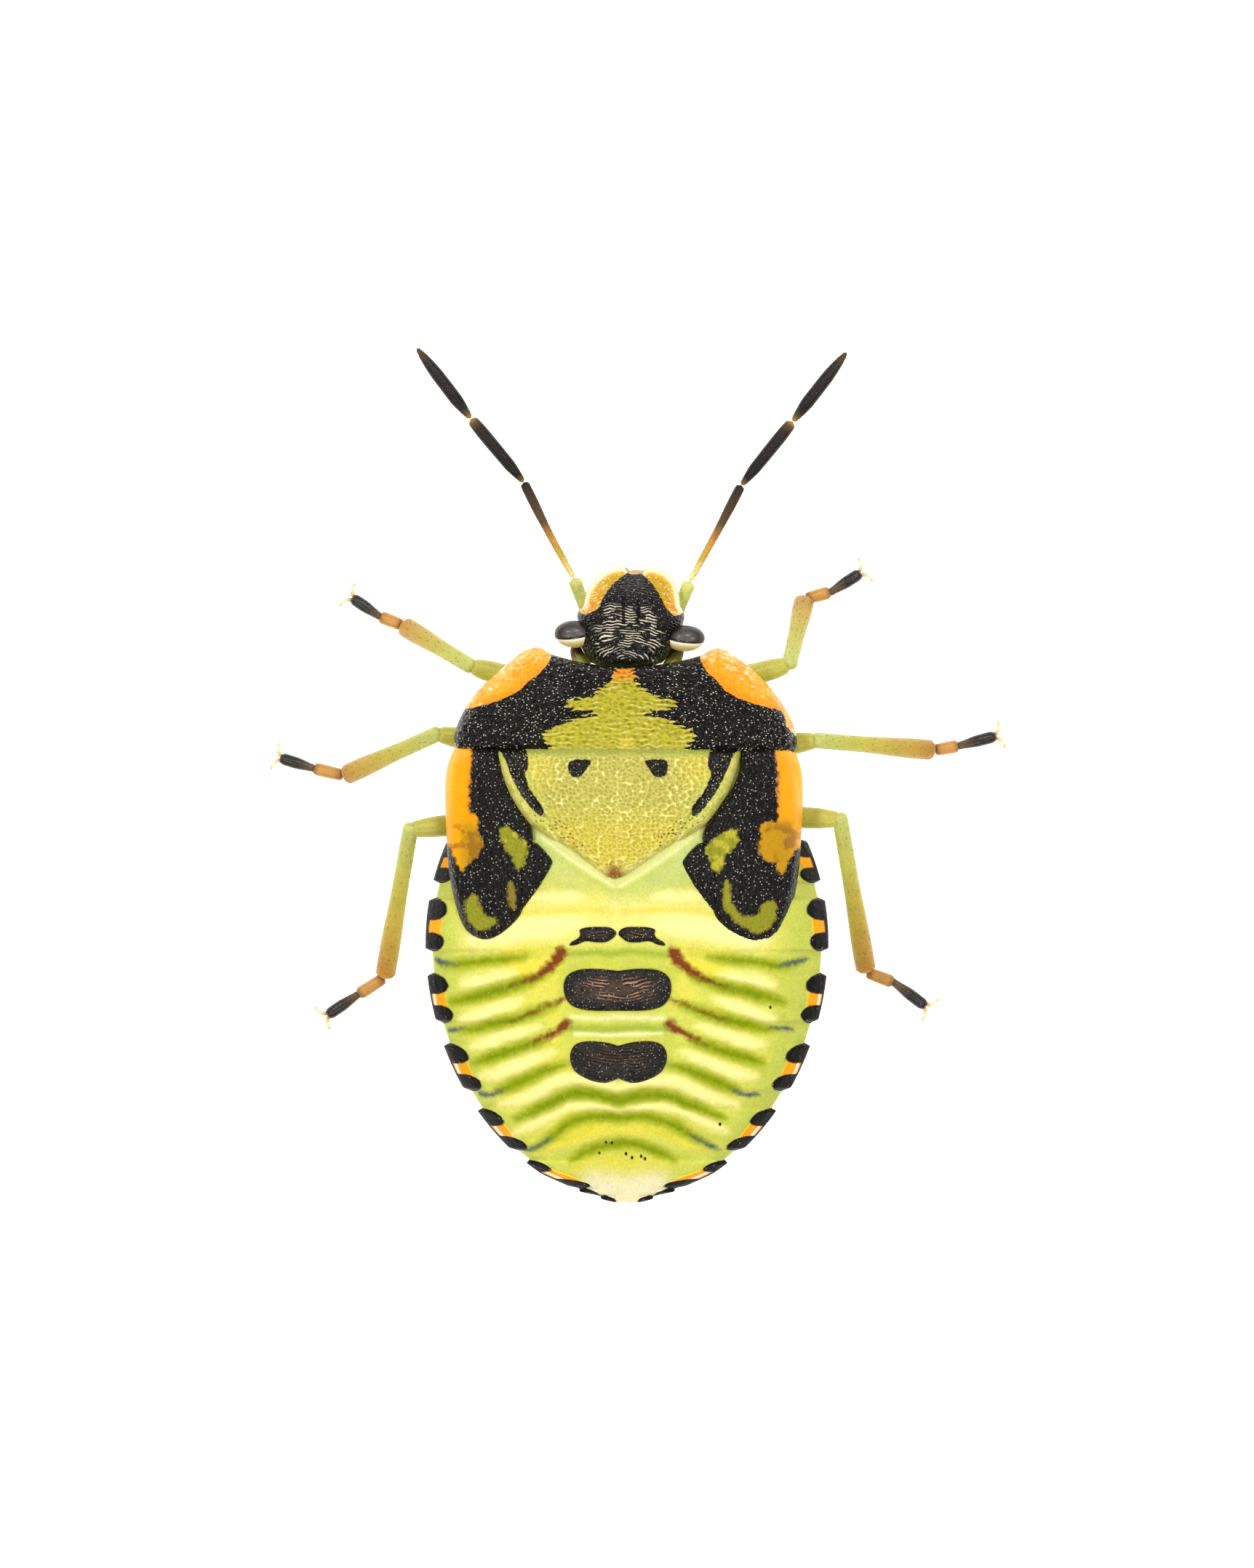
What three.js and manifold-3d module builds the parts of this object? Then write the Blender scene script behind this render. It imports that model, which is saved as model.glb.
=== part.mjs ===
// A shield bug nymph in its last stage before the winged adult, at life size.
// Millimetres, +Z up. The head faces -Y and the animal's left is +X.
// The origin is on the floor under the middle of the animal.
import * as THREE from "three";
import { mergeVertices } from "three/addons/utils/BufferGeometryUtils.js";
import Module from "manifold-3d";

const wasm = await Module();
wasm.setup();

// Driving dimensions
const gap = 0.3; // between neighbouring pieces
const bodyHalfWidth = 4.04; // at the widest of the abdomen
const widestY = 3.3;
const tailY = 8.55;
const headFrontY = -4.19;
const neckY = -2.22;
const headYaw = THREE.MathUtils.degToRad(-4.5); // the head is turned a little to its right

const pronotumSeamY = -0.5; // hind edge of the neck shield
const plateThickness = 0.6;
const plateEdgeDrop = 0.14; // how far a plate's edge rolls down
const padRise = 0.14; // the wing pads stand above the back by this

const thoraxFrontY = -2.05;
const waistY = 1.1; // the gap between thorax and abdomen is centred here
const thoraxInset = 0.42; // the plates overhang the thorax by this
const thoraxRim = 2.4;
const thoraxBelly = 1.9;

const feelerRadius = 0.25;
const feelerTipRadius = 0.0875;
const legRadius = 0.25;
const thighRadius = 0.275;
const shinEndRadius = 0.265;
const heelRadius = 0.24;
const toeRadius = 0.17;
const clawLength = 0.27;
const clawRadius = 0.09;
const clawSpread = 0.55; // radians between a claw and the foot's line
const clawRoot = 0.05; // how deep a claw starts inside the foot, and how far from its line

// Colours of the nymph's parts
const colours = {
  black: 0x17120f,
  olive: 0x9a9a2e,
  green: 0xb9c94a,
  limb: 0xbcb545,
  dark: 0x2a211b,
};

function material(colour, roughness) {
  return new THREE.MeshStandardMaterial({ color: colour, roughness, metalness: 0 });
}

// A smooth function through pairs of [position, value], without overshoot
function through(pairs) {
  const secants = pairs.slice(1).map(([p, v], i) => (v - pairs[i][1]) / (p - pairs[i][0]));
  const slopes = pairs.map((_, i) => {
    const before = secants[Math.max(i - 1, 0)];
    const after = secants[Math.min(i, secants.length - 1)];
    return before * after > 0 ? (2 * before * after) / (before + after) : 0;
  });
  return (position) => {
    const last = pairs.length - 2;
    const found = pairs.findIndex(([p]) => p > position) - 1;
    const i = found < -1 || position >= pairs[last + 1][0] ? last : Math.max(found, 0);
    const [p0, v0] = pairs[i];
    const [p1, v1] = pairs[i + 1];
    const span = p1 - p0;
    const t = THREE.MathUtils.clamp((position - p0) / span, 0, 1);
    const s = 1 - t;
    const steep0 = slopes[i] * span;
    const steep1 = slopes[i + 1] * span;
    return (
      v0 * s * s * (1 + 2 * t) + steep0 * s * s * t + v1 * t * t * (3 - 2 * t) - steep1 * t * t * s
    );
  };
}

// Heights along the body: the ridge of the back, the rim at its sides and the belly
const ridge = through([
  [-2.6, 3.5],
  [-1.6, 4.0],
  [-0.5, 4.25],
  [0.8, 4.4],
  [3.5, 4.35],
  [5.2, 4.2],
  [6.6, 3.8],
  [7.7, 3.2],
  [tailY, 2.55],
]);
const plateRim = through([
  [-2.6, 2.75],
  [-0.5, 2.9],
  [1.0, 2.95],
  [tailY, 2.9],
]);
const abdomenRim = through([
  [1.2, 2.3],
  [2.0, 2.4],
  [3.4, 2.68],
  [4.6, 2.72],
  [tailY, 2.45],
]);
const abdomenBelly = through([
  [1.2, 1.5],
  [2.2, 1.15],
  [3.6, 1.0],
  [5.2, 1.05],
  [6.8, 1.4],
  [7.8, 1.85],
  [tailY, 2.3],
]);

// The animal leans a little to its left, so the ridge lies off the line between its sides.
const ridgeShift = through([
  [-2.4, 0.03],
  [-0.6, 0.17],
  [1.0, 0.19],
  [6.0, 0.18],
  [tailY, 0],
]);

// Half the width of the abdomen, an arc that closes at the tail
const abdomenArc = { behind: 5.25, before: 4.7, fullness: 0.5556 };
function abdomenHalfWidth(y) {
  const reach = y > widestY ? abdomenArc.behind : abdomenArc.before;
  const t = Math.min(Math.abs(y - widestY) / reach, 1);
  return bodyHalfWidth * (1 - t * t) ** abdomenArc.fullness;
}

// Half the width across the neck shield and the wing pads
const plateHalfWidth = through([
  [-2.6, 1.85],
  [-1.7, 2.97],
  [-1.26, 3.3],
  [-0.86, 3.46],
  [-0.39, 3.48],
  [0.5, 3.64],
  [1.4, 3.66],
  [widestY, 3.7],
]);

// Height of the back under the plates, falling from ridge to rim
const backFall = 0.8;
function backHeight(x, y) {
  const across = Math.min(Math.abs(x - ridgeShift(y)) / plateHalfWidth(y), 1);
  return plateRim(y) + (ridge(y) - plateRim(y)) * (1 - across * across) ** backFall;
}

// Manifold solids from geometries and back
function solidFrom(geometry, matrix = new THREE.Matrix4()) {
  const bare = new THREE.BufferGeometry();
  const loose = geometry.index ? geometry.toNonIndexed() : geometry;
  bare.setAttribute("position", loose.getAttribute("position").clone());
  bare.applyMatrix4(matrix);
  const merged = mergeVertices(bare, 1e-3);
  return new wasm.Manifold(
    new wasm.Mesh({
      numProp: 3,
      vertProperties: new Float32Array(merged.attributes.position.array),
      triVerts: new Uint32Array(merged.index.array),
    }),
  );
}

// The largest closed surface of a solid, as a geometry
function geometryFrom(solid) {
  const bodies = solid.decompose();
  const largest = bodies.reduce((a, b) => (b.volume() > a.volume() ? b : a));
  const mesh = largest.getMesh();
  const geometry = new THREE.BufferGeometry();
  geometry.setAttribute("position", new THREE.BufferAttribute(mesh.vertProperties, 3));
  geometry.setIndex(new THREE.BufferAttribute(mesh.triVerts, 1));
  return geometry;
}

// A geometry from points and triangles, turned so that its faces point out
function closedGeometry(points, triangles) {
  const corners = triangles.filter(([a, b, c]) => a !== b && b !== c && a !== c);
  let volume = 0;
  for (const [a, b, c] of corners) volume += points[a].dot(points[b].clone().cross(points[c]));
  const facing = volume < 0 ? corners.map(([a, b, c]) => [a, c, b]) : corners;
  const geometry = new THREE.BufferGeometry().setFromPoints(points);
  geometry.setIndex(facing.flat());
  return geometry;
}

// A skin over closed rings of points, with a fan over each end
function skinOver(rings) {
  const sides = rings[0].length;
  const points = rings.flat();
  const triangles = [];
  for (let i = 0; i < rings.length - 1; i++)
    for (let j = 0; j < sides; j++) {
      const a = i * sides + j;
      const b = i * sides + ((j + 1) % sides);
      triangles.push([a, b, b + sides], [a, b + sides, a + sides]);
    }
  for (const [ring, first] of [[rings[0], 0], [rings.at(-1), (rings.length - 1) * sides]]) {
    const middle = ring.reduce((sum, p) => sum.add(p), new THREE.Vector3()).divideScalar(sides);
    const hub = points.push(middle) - 1;
    for (let j = 0; j < sides; j++) {
      const a = first + j;
      const b = first + ((j + 1) % sides);
      triangles.push(first ? [a, b, hub] : [b, a, hub]);
    }
  }
  return closedGeometry(points, triangles);
}

// A slab between an upper and a lower sheet of points, both functions of (u, v) in 0..1
function slabBetween(columns, rows, upper, lower) {
  const points = [];
  for (const sheet of [upper, lower])
    for (let j = 0; j <= rows; j++)
      for (let i = 0; i <= columns; i++) points.push(sheet(i / columns, j / rows));
  const at = (i, j, under) => under * (columns + 1) * (rows + 1) + j * (columns + 1) + i;
  const triangles = [];
  for (let j = 0; j < rows; j++)
    for (let i = 0; i < columns; i++) {
      const [a, b, c, d] = [at(i, j, 0), at(i + 1, j, 0), at(i + 1, j + 1, 0), at(i, j + 1, 0)];
      const [e, f, g, h] = [at(i, j, 1), at(i + 1, j, 1), at(i + 1, j + 1, 1), at(i, j + 1, 1)];
      triangles.push([a, b, c], [a, c, d], [e, g, f], [e, h, g]);
    }
  const wall = (a, b, c, d) => triangles.push([a, c, b], [b, c, d]);
  for (let i = 0; i < columns; i++) {
    wall(at(i, 0, 0), at(i + 1, 0, 0), at(i, 0, 1), at(i + 1, 0, 1));
    wall(at(i + 1, rows, 0), at(i, rows, 0), at(i + 1, rows, 1), at(i, rows, 1));
  }
  for (let j = 0; j < rows; j++) {
    wall(at(0, j + 1, 0), at(0, j, 0), at(0, j + 1, 1), at(0, j, 1));
    wall(at(columns, j, 0), at(columns, j + 1, 0), at(columns, j, 1), at(columns, j + 1, 1));
  }
  return closedGeometry(points, triangles);
}

const outline = (...points) => new THREE.SplineCurve(points.map(([x, y]) => new THREE.Vector2(x, y)));

// A point of the patch between four edge curves that share their corners
function patchPoint({ front, hind, left, right }, u, v) {
  const sum = new THREE.Vector2();
  const add = (p, share) => sum.addScaledVector(p, share);
  add(front.getPoint(u), 1 - v);
  add(hind.getPoint(u), v);
  add(left.getPoint(v), 1 - u);
  add(right.getPoint(v), u);
  add(front.getPoint(0), -(1 - u) * (1 - v));
  add(front.getPoint(1), -u * (1 - v));
  add(hind.getPoint(0), -(1 - u) * v);
  add(hind.getPoint(1), -u * v);
  return sum;
}

// A plate of the back: its edges in plan, its height, and how many cells it has each way
function backPlate({ edges, columns, rows, rise = 0, lift = 0, sink = 0 }) {
  const crowd = (t) => 0.5 - 0.5 * Math.cos(Math.PI * t) * (1.35 - 0.35 * Math.cos(Math.PI * t) ** 2);
  const onEdge = (t) => t < 1e-6 || t > 1 - 1e-6;
  const sheet = (drop, edgeDrop) => (u, v) => {
    const p = patchPoint(edges, crowd(u), crowd(v));
    const rolled = onEdge(u) || onEdge(v) ? edgeDrop : 0;
    return new THREE.Vector3(p.x, p.y, backHeight(p.x, p.y) + rise - drop - rolled);
  };
  return slabBetween(columns, rows, sheet(-lift, plateEdgeDrop), sheet(plateThickness + sink, 0));
}

// The neck shield: a concave front, round shoulders and a nearly straight hind edge
const leftShoulder = [1.86, -2.57];
const rightShoulder = [-1.8, -2.57];
const pronotumHindY = pronotumSeamY - gap / 2;
const pronotumHindHalfWidth = 3.36;
const leftCorner = [pronotumHindHalfWidth, pronotumHindY];
const rightCorner = [-pronotumHindHalfWidth, pronotumHindY];
const pronotumEdges = {
  front: outline(leftShoulder, [0.98, -2.2], [0.03, -2.08], [-0.92, -2.2], rightShoulder),
  hind: outline(leftCorner, [0, pronotumHindY + 0.03], rightCorner),
  left: outline(leftShoulder, [2.95, -1.72], [3.42, -1.0], leftCorner),
  right: outline(rightShoulder, [-2.92, -1.72], [-3.4, -1.0], rightCorner),
};
const pronotumPlate = backPlate({ edges: pronotumEdges, columns: 20, rows: 10 });

// The scutellum and the wing pads share the seam that runs from the neck shield to the tip.
const seamSide = [
  [2.1, -0.35],
  [1.9, 0.6],
  [1.5, 1.15],
];
const scutellumTip = { x: 0.2, y: 2.02, halfWidth: 0.34 };
function scutellumEdges(grow) {
  const inner = gap / 2 - grow;
  const lean = (y, i) => (ridgeShift(y) * i) / 4; // the sides follow the ridge more towards the tip
  const tipShoulder = 0.16; // the sides stop this far short of the tip
  const side = (sign) => [
    ...seamSide.map(([x, y], i) => [sign * (x - inner) + lean(y, i), y - (i ? 0 : grow)]),
    [
      scutellumTip.x + sign * (scutellumTip.halfWidth - inner / 2),
      scutellumTip.y - tipShoulder + grow,
    ],
  ];
  const [left, right] = [side(1), side(-1)];
  return {
    front: outline(left[0], right[0]),
    hind: outline(left[3], [scutellumTip.x, scutellumTip.y + grow], right[3]),
    left: outline(...left),
    right: outline(...right),
  };
}
const scutellumPlate = (grow = 0) =>
  backPlate({
    edges: scutellumEdges(grow),
    columns: 14,
    rows: 12,
    rise: 0.04,
    lift: grow ? 1 : 0,
    sink: grow,
  });

// A wing pad, with the small hind pad that shows at its inner side
function wingPadEdges(side, grow) {
  const lean = side > 0 ? 0 : 0.02;
  const place = (x, y) => [side * x + lean, y];
  const lateral = [
    place(3.42 + grow, pronotumSeamY + gap / 2 - grow),
    place(3.62 + grow, 0.45),
    place(3.57 + grow, 1.45),
    place(3.47 + grow, 2.2),
    place(3.22 + grow, 2.95 + grow / 2),
  ];
  const medial = [
    place(2.1 + gap / 2 - grow, pronotumSeamY + gap / 2 - grow),
    place(1.95 + gap / 2 - grow, 0.6),
    place(1.7 + gap / 2 - grow, 1.2),
    place(1.5 - grow, 1.72),
    place(1.82 - grow, 2.45),
    place(2.25 - grow / 2, 2.97 + grow / 2),
  ];
  return {
    front: outline(lateral[0], medial[0]),
    hind: outline(lateral.at(-1), place(2.87, 3.3 + grow), medial.at(-1)),
    left: outline(...lateral),
    right: outline(...medial),
  };
}
const wingPadPlate = (side, grow = 0) =>
  backPlate({
    edges: wingPadEdges(side, grow),
    columns: 9,
    rows: 16,
    rise: padRise,
    lift: grow ? 1 : 0,
    sink: grow,
  });

// The thorax under the plates: a block with round flanks
const thoraxSides = 28;
const thoraxRings = 12;
function thoraxGeometry() {
  const rings = [];
  for (let i = 0; i <= thoraxRings; i++) {
    const y = THREE.MathUtils.lerp(thoraxFrontY, waistY - gap / 2, i / thoraxRings);
    const halfWidth = plateHalfWidth(y) - thoraxInset;
    const ring = [];
    for (let j = 0; j < thoraxSides; j++) {
      const angle = (2 * Math.PI * j) / thoraxSides;
      const x = halfWidth * Math.cos(angle);
      const roof = backHeight(x, y) - plateThickness - gap;
      const up = Math.sin(angle);
      const z = up > 0 ? Math.max(roof, thoraxRim) : thoraxRim + (thoraxRim - thoraxBelly) * up;
      ring.push(new THREE.Vector3(x, y, z));
    }
    rings.push(ring);
  }
  return skinOver(rings);
}

// The side plates of the abdomen, front and hind end of each
const sidePlates = [
  [1.2, 2.13],
  [2.45, 3.53],
  [3.93, 4.95],
  [5.35, 6.25],
  [6.65, 7.5],
  [7.68, 8.24],
];
const sidePlateRise = 0.09;
const sidePlateNotch = 0.1;
const sidePlateBand = [0.8, 0.93]; // they rise between these shares of the half width
function onSidePlate(y) {
  const soft = 0.14;
  const covers = sidePlates.map(([a, b]) => Math.min((y - a) / soft, (b - y) / soft, 1));
  return Math.max(0, ...covers);
}

const abdomenSides = 32;
const abdomenRings = 36;
const upperRoundness = 1.5;
const lowerRoundness = 1.15;
function abdomenSkin() {
  const rings = [];
  for (let i = 0; i <= abdomenRings; i++) {
    const y = THREE.MathUtils.lerp(waistY + gap / 2, tailY, (i / abdomenRings) ** 0.95);
    const plate = onSidePlate(y);
    const halfWidth = Math.max(abdomenHalfWidth(y) - sidePlateNotch * (1 - plate), 0.12);
    const rim = abdomenRim(y);
    const top = Math.min(ridge(y), rim + halfWidth * 0.9);
    const ring = [];
    for (let j = 0; j < abdomenSides; j++) {
      const angle = (2 * Math.PI * j) / abdomenSides;
      const across = Math.cos(angle);
      const up = Math.sin(angle);
      const above = up > 0 ? up ** upperRoundness : 0;
      const below = up < 0 ? (-up) ** lowerRoundness : 0;
      const outer = THREE.MathUtils.smoothstep(Math.abs(across), ...sidePlateBand);
      const raised = up > -0.1 ? sidePlateRise * plate * outer : 0;
      const x = halfWidth * across + ridgeShift(y) * above;
      const z = rim + (top - rim) * above - (rim - abdomenBelly(y)) * below + raised;
      ring.push(new THREE.Vector3(x, y, z));
    }
    rings.push(ring);
  }
  return skinOver(rings);
}

// The black gland plates on the abdomen's back, each a low block with round corners
const glandPlates = [
  { x: 0.6, y: 3.15, width: 0.7, length: 0.34 },
  { x: -0.17, y: 3.15, width: 0.76, length: 0.34 },
  { x: 0.19, y: 4.23, width: 2.12, length: 0.86 },
  { x: 0.17, y: 5.67, width: 1.92, length: 0.84 },
];
const glandRise = 0.12;
const glandRoot = 0.5;
function glandPlate({ x, y, width, length }) {
  const [a, b] = [width / 2, length / 2];
  const corner = b * 0.85;
  const shape = new THREE.Shape();
  shape.moveTo(-a + corner, -b);
  shape.lineTo(a - corner, -b);
  shape.quadraticCurveTo(a, -b, a, 0);
  shape.quadraticCurveTo(a, b, a - corner, b);
  shape.lineTo(-a + corner, b);
  shape.quadraticCurveTo(-a, b, -a, 0);
  shape.quadraticCurveTo(-a, -b, -a + corner, -b);
  const bevel = 0.06;
  const block = new THREE.ExtrudeGeometry(shape, {
    depth: glandRoot,
    bevelSize: bevel,
    bevelThickness: bevel,
    bevelOffset: -bevel,
    bevelSegments: 1,
    curveSegments: 4,
  });
  const top = ridge(y) + glandRise;
  block.translate(x, y, top - glandRoot - bevel);
  return block;
}

function abdomenGeometry() {
  let solid = solidFrom(abdomenSkin());
  for (const cover of [scutellumPlate(gap), wingPadPlate(1, gap), wingPadPlate(-1, gap)])
    solid = solid.subtract(solidFrom(cover));
  for (const plate of glandPlates) solid = solid.add(solidFrom(glandPlate(plate)));
  return geometryFrom(solid);
}

// The head, in its own frame: the origin at the middle of the neck, forward along -Y
const headLength = neckY - headFrontY;
const headSides = 30;
const headRings = 16;
const cheek = { length: 0.97, halfWidth: 1.07 };
function headHalfWidth(forward) {
  const toFront = headLength - forward;
  const behind = through([
    [0, 0.98],
    [0.35, 1.0],
    [0.8, 1.04],
    [1.0, 1.07],
  ]);
  if (toFront > cheek.length) return behind(forward);
  const t = 1 - toFront / cheek.length;
  return cheek.halfWidth * Math.max(1 - t ** 2.6, 0.004) ** 0.42;
}
const headTop = through([
  [0, 3.3],
  [0.8, 3.2],
  [1.4, 2.86],
  [headLength, 2.28],
]);
const headUnder = through([
  [0, 2.1],
  [0.9, 1.85],
  [1.5, 1.86],
  [headLength, 2.08],
]);
function headSkin() {
  const rings = [];
  for (let i = 0; i <= headRings; i++) {
    const forward = headLength * Math.sin((0.5 * Math.PI * i) / headRings) ** 0.9;
    const halfWidth = headHalfWidth(forward);
    const top = headTop(forward);
    const under = headUnder(forward);
    const rim = THREE.MathUtils.lerp(under, top, 0.42);
    const ring = [];
    for (let j = 0; j < headSides; j++) {
      const angle = (2 * Math.PI * j) / headSides;
      const up = Math.sin(angle);
      const rise = up > 0 ? (top - rim) * up ** 1.15 : (rim - under) * up;
      ring.push(new THREE.Vector3(halfWidth * Math.cos(angle), -forward, rim + rise));
    }
    rings.push(ring);
  }
  return skinOver(rings);
}

// An eye is a dome that leans out over the head's side.
const eye = { x: 1.14, forward: 0.6, z: 2.74, half: [0.38, 0.32, 0.38] };
const eyeClearance = 0.24; // between an eye and its socket in the head
function eyeBall(side, grow = 0) {
  const ball = new THREE.SphereGeometry(1, 20, 14);
  ball.scale(...eye.half.map((half) => half + grow));
  ball.translate(side * eye.x, -eye.forward, eye.z);
  return ball;
}

// A limb piece turned from a profile of [share of its length, radius], along +Y from the origin
function turned(length, profile, sides) {
  const points = [new THREE.Vector2(0, 0)];
  for (const [share, radius] of profile) points.push(new THREE.Vector2(radius, share * length));
  points.push(new THREE.Vector2(0, length));
  return new THREE.LatheGeometry(points, sides);
}

// A limb piece keeps its thickness up to a round shoulder at each end.
const shoulderRadius = 0.68;
const shoulderDepth = 0.45;
const plainProfile = (start, end, length) => [
  [0, start * shoulderRadius],
  [(start * shoulderDepth) / length, start],
  [1 - (end * shoulderDepth) / length, end],
  [1, end * shoulderRadius],
];

const limbSides = 10;
const up = new THREE.Vector3(0, 1, 0);
function placeAlong(mesh, from, to) {
  mesh.position.copy(from);
  mesh.quaternion.setFromUnitVectors(up, to.clone().sub(from).normalize());
  mesh.updateMatrixWorld(true);
  return mesh;
}

// The two ends of a piece between two joints, drawn back by half a gap where it meets the next
function drawnBack(from, to, before, after) {
  const along = to.clone().sub(from).normalize();
  return [from.clone().addScaledVector(along, before), to.clone().addScaledVector(along, -after)];
}

function limb(name, from, to, start, end, look) {
  const length = from.distanceTo(to);
  const geometry = turned(length, plainProfile(start, end, length), limbSides);
  const mesh = new THREE.Mesh(geometry, look);
  mesh.name = name;
  return placeAlong(mesh, from, to);
}

// What lies below the floor is cut off, which leaves a small flat to stand on.
function cutAtFloor(mesh) {
  const deep = 2;
  const reach = 30;
  const ground = new THREE.BoxGeometry(reach, reach, deep);
  ground.translate(0, 0, -deep / 2);
  const inverse = mesh.matrixWorld.clone().invert();
  mesh.geometry = geometryFrom(solidFrom(mesh.geometry).subtract(solidFrom(ground, inverse)));
  return mesh;
}

const vector = ([x, y, z]) => new THREE.Vector3(x, y, z);

// Each feeler: the joints from its root under the head to its tip
const feelers = {
  left: [
    [0.78, -3.14, 1.86],
    [1.05, -3.95, 2.0],
    [2.06, -5.86, 2.75],
    [3.11, -7.12, 3.05],
    [4.19, -8.55, 2.9],
  ],
  right: [
    [-0.94, -3.06, 1.86],
    [-1.24, -3.95, 2.0],
    [-2.28, -5.8, 2.75],
    [-3.3, -7.06, 3.05],
    [-4.38, -8.47, 2.9],
  ],
};

// Each leg: its hip, knee, ankle and the foot's tip, in the pose of the photograph
const legs = {
  fore_left: {
    hip: [0.95, -1.6, 1.3],
    knee: [3.13, -2.2, 1.95],
    ankle: [4.51, -3.03, 0.3],
    toe: [5.69, -3.69],
  },
  mid_left: {
    hip: [1.05, -0.35, 1.3],
    knee: [3.8, -0.84, 2.1],
    ankle: [5.69, -0.01, 0.3],
    toe: [7.15, -0.41],
  },
  hind_left: {
    hip: [1.05, 0.7, 1.3],
    knee: [4.33, 1.07, 2.3],
    ankle: [4.88, 4.06, 0.3],
    toe: [6.2, 4.93],
  },
  fore_right: {
    hip: [-0.95, -1.6, 1.3],
    knee: [-3.25, -2.23, 1.95],
    ankle: [-3.58, -3.57, 0.3],
    toe: [-4.85, -4.15],
  },
  mid_right: {
    hip: [-1.05, -0.35, 1.3],
    knee: [-3.8, -0.71, 2.1],
    ankle: [-6.18, -0.52, 0.3],
    toe: [-7.6, -0.84],
  },
  hind_right: {
    hip: [-1.05, 0.7, 1.3],
    knee: [-4.26, 0.87, 2.3],
    ankle: [-4.82, 3.95, 0.3],
    toe: [-6.17, 4.75],
  },
};
const heelHeight = 0.2;
const toeHeight = 0.135;
const coxa = { startRadius: 0.34, endRadius: 0.27, depth: 0.42, lean: 0.12, reach: 0.1 };

// A foot with two claws that spread from its end
function foot(name, from, to, look) {
  const mesh = limb(name, from, to, heelRadius, toeRadius, look);
  const length = from.distanceTo(to);
  let solid = solidFrom(mesh.geometry);
  for (const side of [-1, 1]) {
    const claw = new THREE.ConeGeometry(clawRadius, clawLength, 6);
    const turn = new THREE.Matrix4().makeRotationZ(-side * clawSpread);
    const shift = new THREE.Matrix4().makeTranslation(side * clawRoot, length - clawRoot, 0);
    claw.translate(0, clawLength / 2 - clawRoot, 0);
    solid = solid.add(solidFrom(claw, shift.multiply(turn)));
  }
  mesh.geometry = geometryFrom(solid);
  return cutAtFloor(mesh);
}

const group = new THREE.Group();
function add(name, geometry, look, parent = group) {
  const mesh = new THREE.Mesh(geometry, look);
  mesh.name = name;
  parent.add(mesh);
  return mesh;
}

// The back
add("pronotum", pronotumPlate, material(colours.black, 0.45));
add("scutellum", scutellumPlate(), material(colours.olive, 0.5));
add("wing_pad_left", wingPadPlate(1), material(colours.black, 0.5));
add("wing_pad_right", wingPadPlate(-1), material(colours.black, 0.5));

// The legs
const limbLook = () => material(colours.limb, 0.4);
const footLook = () => material(colours.dark, 0.35);
const cutters = [];
for (const [name, { hip, knee, ankle, toe }] of Object.entries(legs)) {
  const [hipPoint, kneePoint, anklePoint] = [hip, knee, ankle].map(vector);
  const toePoint = new THREE.Vector3(...toe, toeHeight);
  const heel = new THREE.Vector3(anklePoint.x, anklePoint.y, heelHeight);
  const outward = kneePoint.clone().sub(hipPoint).normalize();

  const coxaTop = hipPoint.clone().add(new THREE.Vector3(-outward.x * coxa.lean, 0, coxa.depth));
  const coxaEnd = hipPoint.clone().addScaledVector(outward, coxa.reach);
  const { startRadius, endRadius } = coxa;
  group.add(limb("coxa_" + name, coxaTop, coxaEnd, startRadius, endRadius, limbLook()));
  cutters.push([coxaTop, coxaEnd, startRadius + gap]);

  const thighStart = hipPoint.clone().addScaledVector(outward, coxa.reach + gap);
  const [thighFrom, thighTo] = drawnBack(thighStart, kneePoint, 0, gap / 2);
  group.add(limb("femur_" + name, thighFrom, thighTo, legRadius, thighRadius, limbLook()));
  cutters.push([thighFrom, thighTo, thighRadius + gap]);

  const [shinFrom, shinTo] = drawnBack(kneePoint, anklePoint, gap / 2, gap / 2);
  group.add(limb("tibia_" + name, shinFrom, shinTo, legRadius, shinEndRadius, limbLook()));

  const [footFrom, footTo] = drawnBack(heel, toePoint, gap / 2, 0);
  group.add(foot("tarsus_" + name, footFrom, footTo, footLook()));
}

// The thorax and the abdomen are cut clear of the legs.
function clearOf(geometry, tubes) {
  let solid = solidFrom(geometry);
  for (const [from, to, radius] of tubes) {
    const length = from.distanceTo(to);
    const tube = turned(length + radius, [[0, radius], [1, radius]], limbSides);
    const holder = placeAlong(new THREE.Mesh(tube), from, to);
    holder.translateY(-radius / 2);
    holder.updateMatrixWorld(true);
    solid = solid.subtract(solidFrom(tube, holder.matrixWorld));
  }
  return geometryFrom(solid);
}
add("thorax", clearOf(thoraxGeometry(), cutters), material(colours.green, 0.5));
add("abdomen", clearOf(abdomenGeometry(), cutters), material(colours.green, 0.5));

// The head with its eyes
const headGroup = new THREE.Group();
headGroup.position.set(0.03, neckY - gap / 2, 0);
headGroup.rotation.z = headYaw;
group.add(headGroup);
headGroup.updateMatrixWorld(true);
const toHead = headGroup.matrixWorld.clone().invert();

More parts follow.
